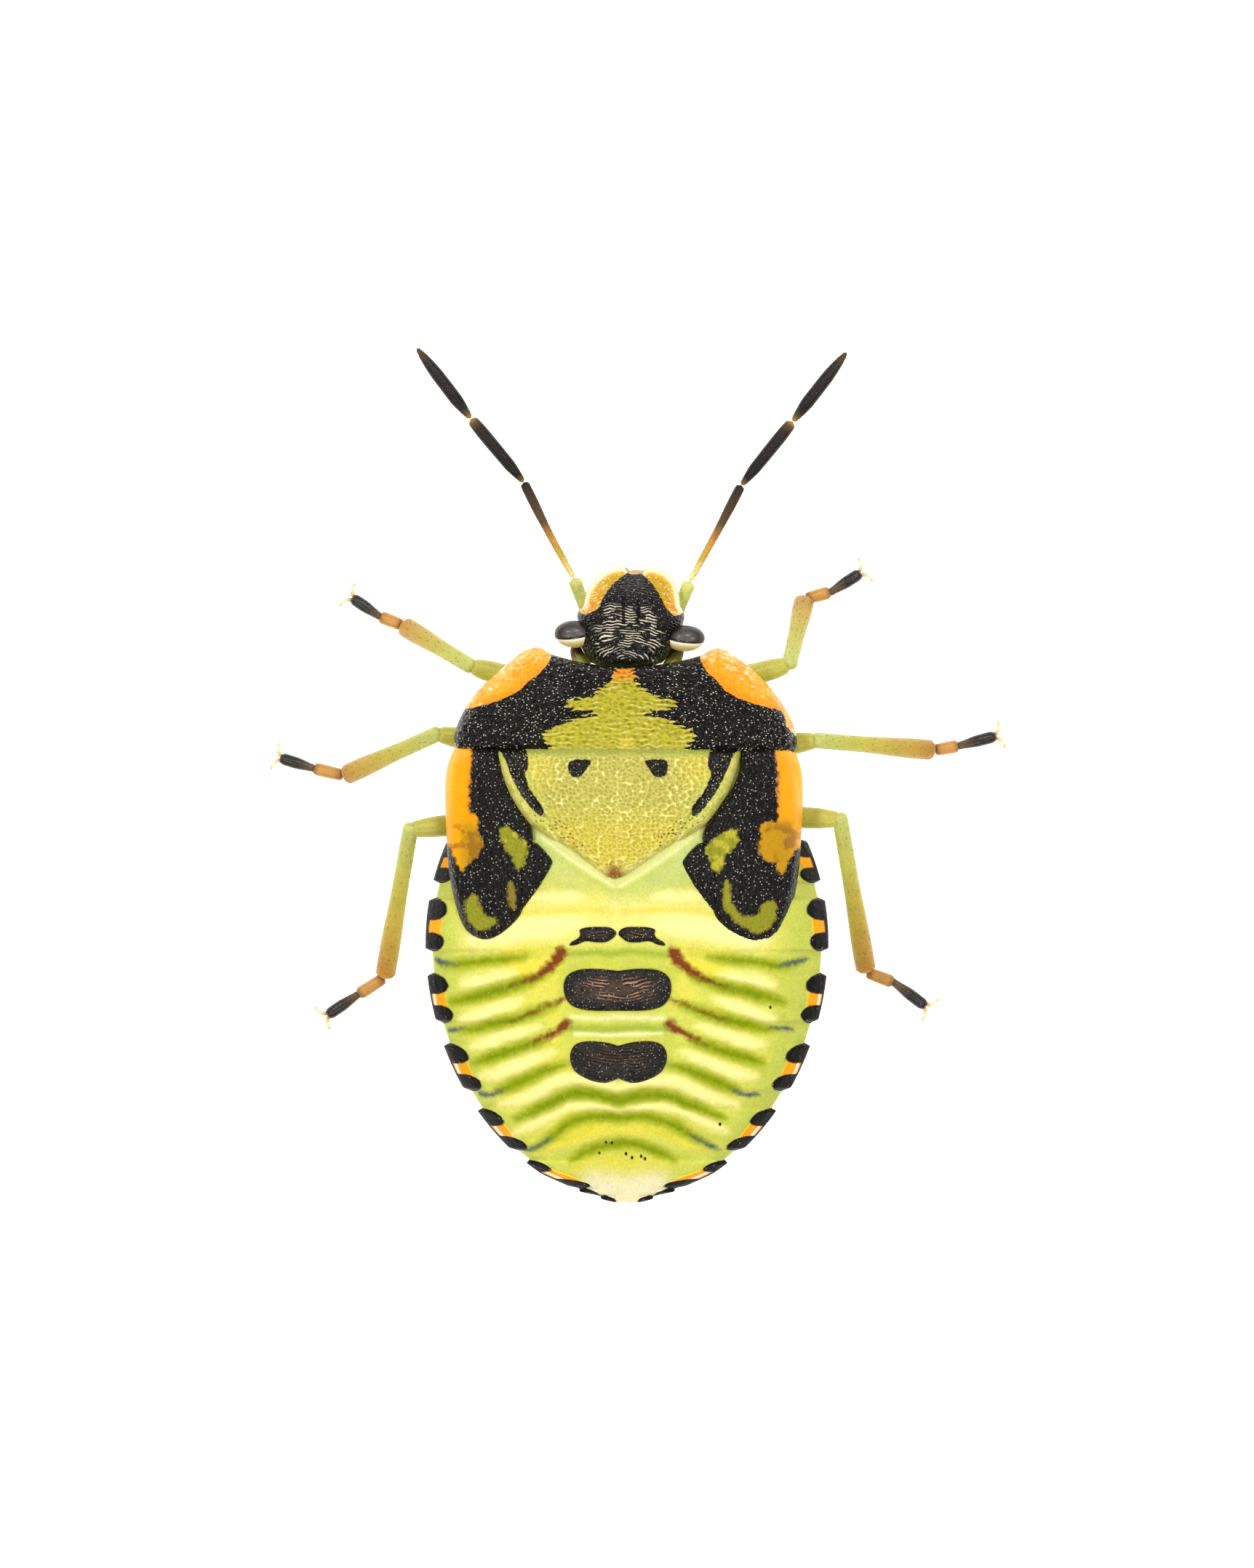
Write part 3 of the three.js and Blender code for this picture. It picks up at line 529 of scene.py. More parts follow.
# Bands of the back, drawn for one side as (distance from the midline, y) with a width at each end
bandLines = {
    "cream": [([(0.6, 2.9), (1.6, 3.0), (2.2, 3.12), (3.0, 3.3)], 0.34, 0.5),
              ([(0.7, 2.42), (1.2, 2.38), (1.8, 2.4)], 0.2, 0.16),
              ([(2.0, 3.92), (2.35, 4.0), (2.75, 4.08), (3.15, 4.15)], 0.16, 0.26),
              ([(1.9, 4.43), (2.25, 4.55), (2.55, 4.65), (2.85, 4.75), (3.15, 4.84)], 0.18, 0.3),
              ([(1.55, 4.97), (2.0, 5.1), (2.35, 5.2), (2.65, 5.3), (2.95, 5.37)], 0.18, 0.28),
              ([(1.25, 5.46), (1.7, 5.63), (2.1, 5.8), (2.45, 5.93), (2.75, 6.0)], 0.2, 0.3),
              ([(0, 6.2), (0.4, 6.1), (0.75, 6.03), (1.15, 6.05), (1.5, 6.24), (2.0, 6.45), (2.4, 6.56)],
               0.16, 0.28),
              ([(0, 6.66), (0.4, 6.6), (0.85, 6.56), (1.15, 6.62), (1.5, 6.78), (1.85, 6.96),
                (2.15, 7.12)], 0.16, 0.24)],
    "lime": [([(1.8, 3.58), (2.2, 3.66), (2.7, 3.7), (3.2, 3.76), (3.6, 3.72)], 0.14, 0.16),
             ([(1.4, 3.94), (1.75, 4.07), (2.05, 4.16), (2.35, 4.25), (2.75, 4.35), (3.05, 4.42),
               (3.35, 4.5)], 0.2, 0.24),
             ([(1.2, 4.54), (1.55, 4.65), (1.85, 4.76), (2.25, 4.87), (2.55, 4.93), (2.85, 5.02),
               (3.2, 5.05)], 0.2, 0.17),
             ([(1.4, 5.24), (1.75, 5.35), (2.05, 5.43), (2.35, 5.53), (2.65, 5.63), (2.9, 5.73)], 0.18,
              0.22),
             ([(1.0, 5.72), (1.3, 5.8), (1.55, 5.9), (1.85, 6.04), (2.2, 6.2), (2.45, 6.3)], 0.16, 0.22),
             ([(0, 6.48), (0.35, 6.38), (0.75, 6.32), (1.05, 6.37), (1.35, 6.5), (1.75, 6.68),
               (2.1, 6.82)], 0.22, 0.2),
             ([(0, 6.8), (0.35, 6.78), (0.75, 6.83), (1.05, 6.95), (1.35, 7.14), (1.6, 7.3), (1.85, 7.42)],
              0.18, 0.16),
             ([(0, 7.3), (0.35, 7.35), (0.75, 7.5), (1.05, 7.66)], 0.18, 0.12)],
    "brown": [([(1.12, 3.5), (1.25, 3.68), (1.5, 3.88), (1.8, 4.05), (2.15, 4.18)], 0.26, 0.03),
              ([(1.05, 4.42), (1.5, 4.6), (1.9, 4.78), (2.2, 4.87)], 0.07, 0.02),
              ([(1.02, 4.92), (1.2, 5.05), (1.5, 5.2), (1.8, 5.34)], 0.2, 0.03)],
    "slate": [([(3.2, 3.76), (3.45, 3.7), (3.78, 3.64)], 0.03, 0.14),
              ([(3.05, 5.0), (3.3, 5.04), (3.5, 5.05)], 0.03, 0.13),
              ([(2.3, 6.28), (2.55, 6.36), (2.82, 6.36)], 0.04, 0.13),
              ([(1.4, 7.18), (1.65, 7.34), (1.95, 7.46)], 0.03, 0.1)]}
# Softer washes of colour under the bands: points, width, softness, colour, strength
washes = [
    ([(0, 1.5), (2.2, 1.2)], 1.6, 0.9, "mist", 0.75),
    ([(0, 2.85), (1.6, 2.9), (2.7, 3.1)], 0.8, 0.6, "custard", 0.5),
    ([(0.1, 2.7), (0.8, 2.67), (1.4, 2.68), (1.95, 2.74)], 0.1, 0.18, "ochre", 0.6),
    ([(1.1, 3.36), (1.7, 3.46), (2.3, 3.54)], 0.08, 0.16, "ochre", 0.6),
    ([(1.35, 3.66), (1.7, 3.78), (2.1, 3.86)], 0.26, 0.3, "yolk", 0.6),
    ([(0, 7.1), (0.7, 7.1), (1.1, 7.22), (1.5, 7.42)], 0.24, 0.2, "yolk", 0.35),
    ([(0, 7.62), (0.8, 7.74)], 0.34, 0.3, "yolk", 0.25),
    ([(0, 3.53), (0.5, 3.5), (0.95, 3.53)], 0.12, 0.16, "leaf", 0.7),
    ([(0, 5.02), (0.9, 5.0)], 0.16, 0.14, "leaf", 0.6),
    ([(0, 5.14), (0.85, 5.1)], 0.05, 0.12, "ivory", 0.8),
    ([(0, 4.8), (0.9, 4.78)], 0.08, 0.16, "ivory", 0.6),
    ([(0, 6.48), (0.45, 6.38), (0.8, 6.33)], 0.24, 0.2, "leaf", 0.9),
    ([(0, 8.3), (0.6, 8.2)], 0.6, 0.5, "shell", 0.9),
]
# Small dark flecks, most of them near the tail
specks = [(0.42, 7.28), (0.3, 7.3), (0.02, 7.52), (-0.1, 7.6), (-0.28, 7.57), (-0.36, 7.62), (-1.85, 6.93),
          (-2.85, 4.6), (0.55, 7.5)]
# Thin arches behind the scutellum, drawn outwards from x = middle; a row is ordered as a wash is
# The cream row is a painted sheen, the lime row is colour, and the thin ivory row is a painted highlight
archesAndHighlights = [([(0.1, 2.14), (0.5, 1.9), (1.0, 1.55), (1.7, 1.0), (1.95, 0.7)], 0.2, 0.1, "cream", 0.3),
          ([(0.1, 2.28), (0.6, 1.98), (1.1, 1.66)], 0.1, 0.12, "lime", 0.3),
          ([(0.05, 2.2), (0.6, 1.86), (1.1, 1.52), (1.5, 1.2)], 0.03, 0.07, "ivory", 0.55)]


def bandDistance(a, y, lines, wander, tapered):
    # How far a point lies inside the nearest band, whose half width changes evenly and shrinks at the ends
    best = np.full(np.shape(a), -9.0)
    for points, first, last in lines:
        line = smoothLine(points)
        run = np.concatenate([[0], np.cumsum(np.hypot(*np.diff(line, axis=0).T))])
        for k in range(len(line) - 1):
            (ax, ay), (bx, by) = line[k], line[k + 1]
            dx, dy = bx - ax, by - ay
            t = np.clip(((a - ax) * dx + (y + wander - ay) * dy) / (dx * dx + dy * dy + 1e-12), 0, 1)
            d = np.hypot(a - ax - t * dx, y + wander - ay - t * dy)
            share = (run[k] + t * (run[k + 1] - run[k])) / run[-1]
            start = share / abdomen["bandStart"] if tapered and points[0][0] > 0.05 else 1
            taper = np.minimum(1, np.minimum(start, (1 - share) / abdomen["bandEnd"])) ** 0.5
            best = np.maximum(best, (first + (last - first) * share) / 2 * taper - d)
    return best


def onSidePlate(y):
    # 1 on the side plates and 0 in the notches between them
    soft = abdomen["plateSoft"]
    cover = [np.minimum(np.minimum((y - a) / soft, (b - y) / soft), 1) for a, b in abdomen["plates"]]
    return np.clip(np.max(cover, axis=0), 0, 1)


def sidePlateCoordinates(x, y):
    # For each point of the rim: how far along its plate (0..1) and how far in from the edge, in mm
    half = abdomenRimHalf(y)
    slope = (abdomenRimHalf(y + 0.02) - abdomenRimHalf(y - 0.02)) / 0.04
    along = np.full(np.shape(y), -1.0)
    for a, b in abdomen["plates"]:
        t = (y - a) / (b - a)
        along = np.where((t >= -0.1) & (t <= 1.1), t, along)
    return along, (half - np.abs(x)) / np.sqrt(1 + slope ** 2)


def abdomenShape():
    # Rings across the body: an upper half of many sides and a lower half of few, each a power of the sine
    turn = np.linspace(0, 1, abdomen["topSides"])
    swing = np.cos(np.linspace(0, np.pi, abdomen["topSides"]))
    top = np.pi * (0.5 - 0.5 * swing * abdomen["crowdedRim"]
                   - 0.5 * abdomen["evenRim"] * (1 - 2 * turn))
    under = np.linspace(np.pi, 2 * np.pi, abdomen["underSides"] + 2)[1:-1]
    angle = np.concatenate([top, under])[None, :]
    v = np.linspace(0, 1, abdomen["rings"])[:, None]
    y = abdomen["frontY"] + (body["tailY"] - abdomen["frontY"]) * (1 - (1 - v) ** abdomen["crowdedTail"])
    y = y + np.zeros_like(angle)
    plate = onSidePlate(y)
    half = np.maximum(abdomenRimHalf(y) - abdomen["notch"] * (1 - plate) * smooth(8.5, 8.4, y), 0.02)
    across, up = np.cos(angle), np.sin(angle)
    above = np.where(up > 0, np.abs(up), 0) ** abdomen["roundTop"]
    below = np.where(up < 0, np.abs(up), 0) ** abdomen["roundUnder"]
    rim = abdomenRim(y)
    crest = np.minimum(ridge(y) - 0.02, rim + half * 0.9)
    x = half * across + midline(y) * above
    z = rim + (crest - rim) * above - (rim - abdomenBelly(y)) * below
    return x, y, z, up + 0 * y, plate


def backLayers(x, y, up, a, wander):
    # Distances inside the bands, inside the darker cores of the lime ones, and inside the flecks
    layers = {name: bandDistance(a, y, lines, wander, name in ("cream", "lime"))
              for name, lines in bandLines.items()}
    layers["lime"] = layers["lime"] + abdomen["limeWider"]
    layers["core"] = layers["lime"] - abdomen["coreNarrower"] - 0.05 * layered(x * 4, y * 4, 9)
    flecks = [abdomen["speckSize"] - np.hypot(x - sx, (y - sy) * 0.7) for sx, sy in specks]
    layers["speck"] = np.max(flecks, axis=0)
    return {name: np.where(up > 0.05, values, -1.0) for name, values in layers.items()}


def strokes(x, y, rows):
    # Coats of paint from rows of points, width, softness, colour and strength
    return [(name, stroke(x, y, points, width, soft) * strength)
            for points, width, soft, name, strength in rows]


def abdomenPaint(x, y, up, a, wander):
    # Yellow green over the back, greener at the rim and down the middle, with the washes laid over it
    outer = a / np.maximum(abdomenHalfWidth(y), 0.05)
    streaks = smooth(0.48, 0.7, layered(a * 1.1, (y - 0.33 * a) * 5, 13))
    paint = laid(plain(x, "butter"),
                 ("pale", 0.8 * smooth(2.75, 2.2, y)),
                 ("yolk", 0.3 * smooth(0.45, 0.7, layered(x * 0.9, y * 1.6, 11))),
                 ("lime", 0.4 * streaks * smooth(3.2, 3.6, y)),
                 ("pistachio", 0.85 * smooth(0.74, 0.92, outer)),
                 ("pistachio", 0.6 * smooth(1.3, 0.9, a) * smooth(3.2, 3.5, y) * smooth(6.3, 6.1, y)),
                 *strokes(a, y + wander, washes),
                 *strokes(np.abs(x - abdomen["middle"]), y, archesAndHighlights))
    belly = laid(plain(x, "pale"), ("lime", smooth(0.4, 0.8, layered(x, y, 21))))
    return np.where((up > 0)[..., None], paint, belly)


# Side plates: two dark spots joined along a thin rim, orange between them, a pale streak outside it
# as a painted highlight, and dark teeth in place of spots on the last two at the tail
sideMarks = {"reach": (0.4, 0.38), "at": (0.2, 0.85), "long": (0.22, 0.2), "lean": 0.1, "corner": 2.4,
             "rim": (0.07, 0.035), "highlightIn": 0.085, "toothSize": 0.085, "lastSpotY": 8.22,
             "teeth": ([(0.93, 8.27), (0.64, 8.38)], [(0.46, 8.44), (0.3, 8.5)])}


def sidePlateMarks(x, y, up, along, inward):
    # The distance inside the dark marks, and the shares of the orange middle and of the pale streak, a
    # painted highlight
    first = along < 0.5
    narrow = 1 - 0.2 * smooth(6.2, 7.0, y)
    reach = np.where(first, *sideMarks["reach"]) * narrow * (1 - 0.3 * smooth(7.4, 7.8, y))
    at, long = np.where(first, *sideMarks["at"]), np.where(first, *sideMarks["long"])
    lean = (along - at - sideMarks["lean"] * np.where(first, 1, -1) * inward) / long
    spot = (1 - np.sqrt(lean ** 2 + np.clip(inward / reach, 0, 9) ** sideMarks["corner"])) * 0.2
    onPlate = (along > -0.02) & (along < 1.02)
    rim = np.where(y < 3.6, *sideMarks["rim"]) - inward
    dark = np.where(onPlate & (up > -0.3), np.maximum(spot, rim), -1.0)
    teeth = np.max([sideMarks["toothSize"] - lineDistance(np.abs(x), y, np.array(ends))
                    for ends in sideMarks["teeth"]], axis=0)
    spotted = np.where(y > sideMarks["lastSpotY"], -1.0, dark)
    dark = np.where((up > -0.3) & (y > 8.1), np.maximum(spotted, teeth), dark)
    bow = inward / (1 - 0.3 * smooth(6.2, 7.8, y)) + 0.6 * (along - 0.5) ** 2
    middle = onPlate * smooth(0.34, 0.28, bow) * smooth(0.5, 0.36, np.abs(along - 0.5)) * (y < 8.2)
    fromHighlight = np.abs(inward - sideMarks["highlightIn"] + 0.05 * (along - 0.45))
    streak = smooth(0.034, 0.012, fromHighlight) * smooth(0.24, 0.16, np.abs(along - 0.47))
    return dark, middle, streak * np.where(y > 3.7, 0.9, 0.0) * onPlate * (y < 8.2)


x, y, z, up, plate = abdomenShape()
a = np.abs(x - midline(y) * smooth(0, 0.4, up))
wander = 0.10 * (layered(x * 1.3, y * 1.3, 3) - 0.5) + 0.04 * (layered(x * 5, y * 5, 5) - 0.5)
back = backLayers(x, y, up, a, wander)
along, inward = sidePlateCoordinates(x, y)
darkMoon, middleShare, streak = sidePlateMarks(x, y, up, along, inward)
shadow = smooth(0.12, 0.24, inward) * smooth(0.36, 0.24, inward)
# On the side plates, amber is painted shadow in the orange middle and the white streak is a painted
# highlight
paint = laid(abdomenPaint(x, y, up, a, wander),
             ("white", smooth(0.16, 0.0, inward) * (1 - plate) * 0.8),
             ("orange", middleShare),
             ("amber", 0.8 * middleShare * shadow * smooth(0.12, 0.2, np.abs(along - 0.52))),
             ("white", streak))

# Relief: raised side plates, shallow folds along the bands, and fine creases
raised = np.maximum(smooth(-0.02, 0.03, darkMoon), middleShare)
z = z + abdomen["plateRise"] * raised * (up > -0.2)
fold = (abdomen["creamFold"] * smooth(-0.1, 0.12, back["cream"])
        - abdomen["limeFold"] * smooth(-0.1, 0.1, back["lime"]))
fine = (layered(x * 6, y * 9, 31) - 0.5) * abdomen["creases"]
z = z + (fold + fine) * smooth(0.05, 0.3, up)
skin = meshObject("abdomenSkin", np.stack([x, y, z], -1).reshape(-1, 3), gridFaces(*x.shape, True),
                  dict(back, darkMoon=darkMoon), paint)
bm = bmesh.new()                   # the front and the tail end are closed by one face each
bm.from_mesh(skin.data)
bmesh.ops.holes_fill(bm, edges=[e for e in bm.edges if e.is_boundary], sides=0)
bmesh.ops.recalc_face_normals(bm, faces=bm.faces)
bm.to_mesh(skin.data)
bm.free()
skin.data.polygons.foreach_set("use_smooth", np.ones(len(skin.data.polygons), bool))
# Its ivory dots are painted glints all over the skin
abdomenLook = {"grain": 0.15, "rough": 0.42, "gloss": 0.08, "flesh": 0.2, "depth": 0.12, "bump": 0.008,
               "dotsOn": "all", "dots": [(8, (1, 1, 1), 0.1, "ivory", 0.4)],
               "marks": [("cream", "custard", 0.14, 0.26), ("lime", "limeDeep", 0.1, 0.2),
                         ("core", "fern", 0.12, 0.12), ("brown", "russet", 0.16, 0.14),
                         ("slate", "slate", 0.1, 0.12), ("speck", "soot", 0.02, 0.02),
                         ("darkMoon", "black", 0.03, 0.03)]}
finishPiece(skin, shellMaterial("abdomenSkin", abdomenLook), "abdomen", "abdomen")


print("plates of the back")
plates = {"pronotum": {"columns": 330, "rows": 136, "thickness": 0.45, "edge": 0.22, "thinEdge": 0.35},
          "scutellum": {"columns": 250, "rows": 180, "thickness": 0.4, "edge": 0.2, "thinEdge": 0.35},
          "pad": {"columns": 120, "rows": 230, "thickness": 0.35, "edge": 0.16, "thinEdge": 0.35},
          "hindPad": {"columns": 60, "rows": 110, "thickness": 0.35, "edge": 0.12, "thinEdge": 0.35}}


def patch(front, hind, left, right, columns, rows):
    # The sheet between four edge lines: edges blended across and along, less the corners counted twice
    def sampled(points, count):
        line = smoothLine(points, steps=12)
        run = np.concatenate([[0], np.cumsum(np.hypot(*np.diff(line, axis=0).T))])
        at = np.linspace(0, run[-1], count)
        return np.stack([np.interp(at, run, line[:, 0]), np.interp(at, run, line[:, 1])], -1)
    f, h = sampled(front, columns)[None], sampled(hind, columns)[None]
    l, r = sampled(left, rows)[:, None], sampled(right, rows)[:, None]
    u = np.linspace(0, 1, columns)[None, :, None]
    v = np.linspace(0, 1, rows)[:, None, None]
    p = (1 - v) * f + v * h + (1 - u) * l + u * r
    corners = ((1 - u) * (1 - v) * f[:, :1] + u * (1 - v) * f[:, -1:]
               + (1 - u) * v * h[:, :1] + u * v * h[:, -1:])
    p = p - corners
    return p[..., 0], p[..., 1]


def edgeDistance(x, y, lines):
    # Distance in mm to the nearest of the plate's edges
    return np.min([lineDistance(x, y, smoothLine(line, steps=8)) for line in lines], axis=0)


def plateMesh(name, size, edges, relief, layers, paint, rise):
    # The upper sheet rounds down to the edge as a quarter circle; the lower one meets it there
    x, y = patch(*edges, size["columns"], size["rows"])
    inner = edgeDistance(x, y, edges)
    roll = np.clip(inner / size["edge"], 0, 1)
    rounded = np.sqrt(1 - (1 - roll) ** 2)
    base = backHeight(x, y) + rise(x, y)
    low = base - size["thickness"]
    high = base + relief(x, y, inner)
    middle = low + size["thinEdge"] * (base - low)
    top = middle + (high - middle) * rounded
    bottom = middle - (middle - low) * rounded
    return pillow(name, x, y, top, bottom, layers(x, y, inner), paint(x, y, inner))


def pitBowl(distance, size):
    # A round pit: 1 at its middle, 0 at its rim, as 1 less the square of the distance
    return np.clip(1 - (distance / size) ** 2, 0, 1)


def roughSkin(x, y, pace, seed, height):
    # Fine uneven skin, up and down about its own level
    return (layered(x * pace, y * pace, seed) - 0.5) * height


# The neck shield

pronotumEdges = (
    [(1.82, -2.575), (1.68, -2.54), (1.5, -2.43), (1.25, -2.35), (0.98, -2.28), (0.5, -2.2), (0.03, -2.17),
     (-0.5, -2.2), (-0.95, -2.27), (-1.25, -2.34), (-1.5, -2.42), (-1.66, -2.51), (-1.8, -2.555)],
    [(3.38, -0.53), (2.4, -0.51), (1.2, -0.5), (0, -0.49), (-1.2, -0.49), (-2.4, -0.49), (-3.34, -0.46)],
    [(1.82, -2.575), (2.0, -2.53), (2.15, -2.44), (2.45, -2.19), (2.72, -1.95), (3.0, -1.68), (3.2, -1.4),
     (3.32, -1.18), (3.41, -0.95), (3.45, -0.7), (3.38, -0.53)],
    [(-1.8, -2.555), (-1.95, -2.52), (-2.2, -2.36), (-2.5, -2.13), (-2.72, -1.92), (-2.95, -1.66),
     (-3.18, -1.32), (-3.32, -1.02), (-3.38, -0.8), (-3.39, -0.6), (-3.34, -0.46)])
orangeLobe = [(1.46, -2.8), (1.48, -2.4), (1.56, -2.2), (1.7, -2.02), (1.88, -1.88), (2.05, -1.7),
              (2.3, -1.56), (2.6, -1.45), (2.85, -1.38), (3.1, -1.33), (3.23, -1.28), (3.3, -1.15),
              (3.37, -0.95), (3.7, -0.9), (3.7, -2.8), (1.6, -2.95)]
greenMiddle = [(0.12, -2.15), (0.2, -2.05), (0.24, -1.95), (0.3, -1.82), (0.46, -1.72), (0.58, -1.6),
               (0.8, -1.53), (1.02, -1.49), (1.1, -1.4), (0.9, -1.32), (0.52, -1.26), (0.5, -1.22),
               (0.86, -1.13), (1.15, -1.02), (1.4, -0.92), (1.52, -0.8), (1.44, -0.68), (1.35, -0.55),
               (1.33, -0.4), (0, -0.38), (-0.2, -1), (-0.2, -2.0), (-0.05, -2.15)]
neckShield = {"pitCell": 0.1, "pitDeep": 0.04, "rippleEvery": 0.1, "rippleHigh": 0.018,
              "wrinkleEvery": 0.13, "wrinkleHigh": 0.02, "rough": 0.02,
              "blisterAt": (1.22, -1.66), "blisterSize": (0.33, 0.12), "blisterHigh": 0.06,
              "calmAt": (1.2, -1.66), "calmSize": (0.4, 0.17)}


def mirroredInside(x, y, outline):
    # The outline is drawn for the left side; the right side uses its mirror about the midline
    return inside(np.abs(x - midline(y)), y, outline)


def hump(s, y, at, size):
    # A bell round a place: e to the minus (sideways and lengthways shares squared)
    return np.exp(-(((s - at[0]) / size[0]) ** 2 + ((y - at[1]) / size[1]) ** 2))


def pronotumRipple(x, y):
    # Wavy ridges that run across, broken along their length
    bend = 2.4 * layered(x * 1.6, y * 1.6, 47) + 0.8 * noise(x * 7, y * 5, 49)
    gaps = smooth(0.15, 0.5, noise(x * 6 + 3 * bend, y * 11, 51))
    return np.sin(2 * np.pi * (y / neckShield["rippleEvery"] + bend)) * gaps


def pronotumRelief(x, y, inner):
    # Ripples and pits, a smooth blister on each side, and wrinkles along the edge of the orange lobes
    d = spots(x * 0.8, y, neckShield["pitCell"], 41)[0]
    s = np.abs(x - midline(y))
    calm = hump(s, y, neckShield["calmAt"], neckShield["calmSize"])
    orange = smooth(-0.05, 0.1, mirroredInside(x, y, orangeLobe))
    pits = neckShield["pitDeep"] * pitBowl(d, 0.42) * (1 - calm) * (1 - 0.75 * orange)
    middle = smooth(1.9, 0.9, s)
    ripple = neckShield["rippleHigh"] * pronotumRipple(x, y) * (0.35 + 0.65 * middle) * (1 - 0.6 * orange)
    blister = hump(s, y, neckShield["blisterAt"], neckShield["blisterSize"]) * neckShield["blisterHigh"]
    turns = layered(x * 3, y * 3, 53) * 4 + inner / neckShield["wrinkleEvery"]
    wrinkle = neckShield["wrinkleHigh"] * orange * np.sin(2 * np.pi * turns)
    return ripple - pits + blister + wrinkle + roughSkin(x, y, 12, 55, neckShield["rough"])


def pronotumLayers(x, y, inner):
    # Dark outside the orange lobes and the green middle, and pits everywhere but on the lobes
    orange = mirroredInside(x, y, orangeLobe)
    green = mirroredInside(x, y, greenMiddle) + 0.05 * pronotumRipple(x, y)
    d = spots(x * 0.8, y, neckShield["pitCell"], 41)[0]
    pits = np.clip(1.15 - d / 0.3, 0, 1) * smooth(0.05, -0.05, orange)
    return {"dark": -np.maximum(orange, green), "pit": pits}


def pronotumPaint(x, y, inner):
    # Olive with painted shade, moss, in the furrows and painted highlights, straw, on the crests; the lobes
    # at the sides are orange
    orange = mirroredInside(x, y, orangeLobe)
    s = np.abs(x - midline(y))
    crest = pronotumRipple(x, y)
    grainy = smooth(0.3, 0.6, noise(x * 11, y * 16, 63))
    base = laid(plain(x, "olive"),
                ("moss", 0.75 * smooth(-0.1, -0.8, crest) * grainy),
                ("straw", 0.75 * smooth(0.3, 0.95, crest) * grainy),
                ("yolk", 0.3 * smooth(0.5, 0.7, layered(x * 2, y * 2, 61))),
                ("straw", 0.7 * smooth(-0.62, -0.52, y)),
                ("amber", 0.8 * smooth(-1.8, -2.05, y) * smooth(0.5, 0.2, s)))
    seams = smooth(0.5, 0.62, spots(x, y, 0.12, 68)[0])
    lobe = laid(plain(x, "orange"),
                ("amber", 0.5 * smooth(0.2, 0.02, orange)),
                ("honey", 0.8 * smooth(0.5, 0.04, inner) * smooth(0.3, 0.6, layered(x * 6, y * 6, 67))),
                ("amber", 0.6 * seams * smooth(0.35, 0.1, inner)),
                ("ivory", 0.6 * smooth(0.6, 0.72, layered(x * 10, y * 14, 69)) * smooth(0.45, 0.1, inner)))
    return np.where((orange > -0.1)[..., None], lobe, base)


# Its dots are painted glints on the black, grey ones and smaller ivory ones
shellLook = {"grain": 0.12, "rough": 0.26, "gloss": 0.14, "bump": 0.006, "flesh": 0.06, "depth": 0.1,
             "marks": [("dark", "black", 0.07, 0.025)], "pits": ("pit", "soot", 0.35),
             "dots": [(15, (0.75, 1.25, 1), 0.26, "glint", 0.8), (7, (1, 1.2, 1), 0.1, "ivory", 0.9)]}
pronotum = plateMesh("pronotumPlate", plates["pronotum"], pronotumEdges, pronotumRelief, pronotumLayers,
                     pronotumPaint, lambda x, y: -0.04 + 0.09 * smooth(-1.2, -0.5, y))
finishPiece(pronotum, shellMaterial("neckShield", shellLook), "neck_shield", "pronotum")

# The scutellum with the pale stripes at its sides, down to its tip
scutellumEdges = (
    [(2.62, -0.7), (1.5, -0.7), (0.2, -0.7), (-1.2, -0.7), (-2.3, -0.7)],
    [(0.52, 1.94), (0.4, 2.03), (0.22, 2.06), (0.02, 2.0), (-0.12, 1.9)],
    [(2.62, -0.7), (2.6, -0.3), (2.42, 0.2), (2.22, 0.6), (1.98, 0.92), (1.6, 1.2), (1.1, 1.5),
     (0.75, 1.78), (0.52, 1.94)],
    [(-2.3, -0.7), (-2.24, -0.3), (-2.06, 0.25), (-1.86, 0.6), (-1.62, 0.92), (-1.22, 1.2), (-0.72, 1.5),
     (-0.36, 1.75), (-0.12, 1.9)])
scutellumCorner = [(1.95, -0.75), (1.8, -0.42), (1.78, -0.2), (1.84, -0.05), (1.8, 0.1), (1.72, 0.3),
                   (1.56, 0.5), (1.47, 0.66), (1.5, 0.8), (1.64, 0.72), (1.84, 0.48), (2.0, 0.24),
                   (2.12, 0.0), (2.22, -0.25), (2.32, -0.45), (2.6, -0.75)]
scutellumSpot = [(0.5, -0.3), (0.7, -0.36), (0.95, -0.34), (1.02, -0.18), (0.95, 0.02), (0.75, 0.05),
                 (0.62, -0.08)]
scutellumRow = [(1.75, 0.75), (1.35, 0.72), (0.9, 1.05), (0.6, 1.35), (0.75, 1.5), (1.15, 1.25),
                (1.6, 0.98)]
shield = {"netCell": 0.088, "netHigh": 0.036, "pitCell": 0.095, "pitDeep": 0.022, "domeHigh": 0.10,
          "grooveDeep": 0.05, "grooveWide": 0.05, "frontY": -0.36, "seamY": -0.40,
          "tip": (0.24, 1.95), "tipSize": 0.16}


def scutellumMarks(x, y):
    # Black: the front corners and two spots
    s = np.abs(x - midline(y))
    return np.maximum(inside(s, y, scutellumCorner), inside(s, y, scutellumSpot) - 0.03)


def scutellumNet(x, y):
    # A net of ridges round pits: the distance to the nearest of many scattered points, bent by noise
    bend = 0.1 * (layered(x * 5, y * 5, 73) - 0.5)
    d = spots(x * 0.9 + bend, y * 1.1 - bend, shield["netCell"], 74)[0]
    return np.clip(d / 0.36 - 1, -1, 1)


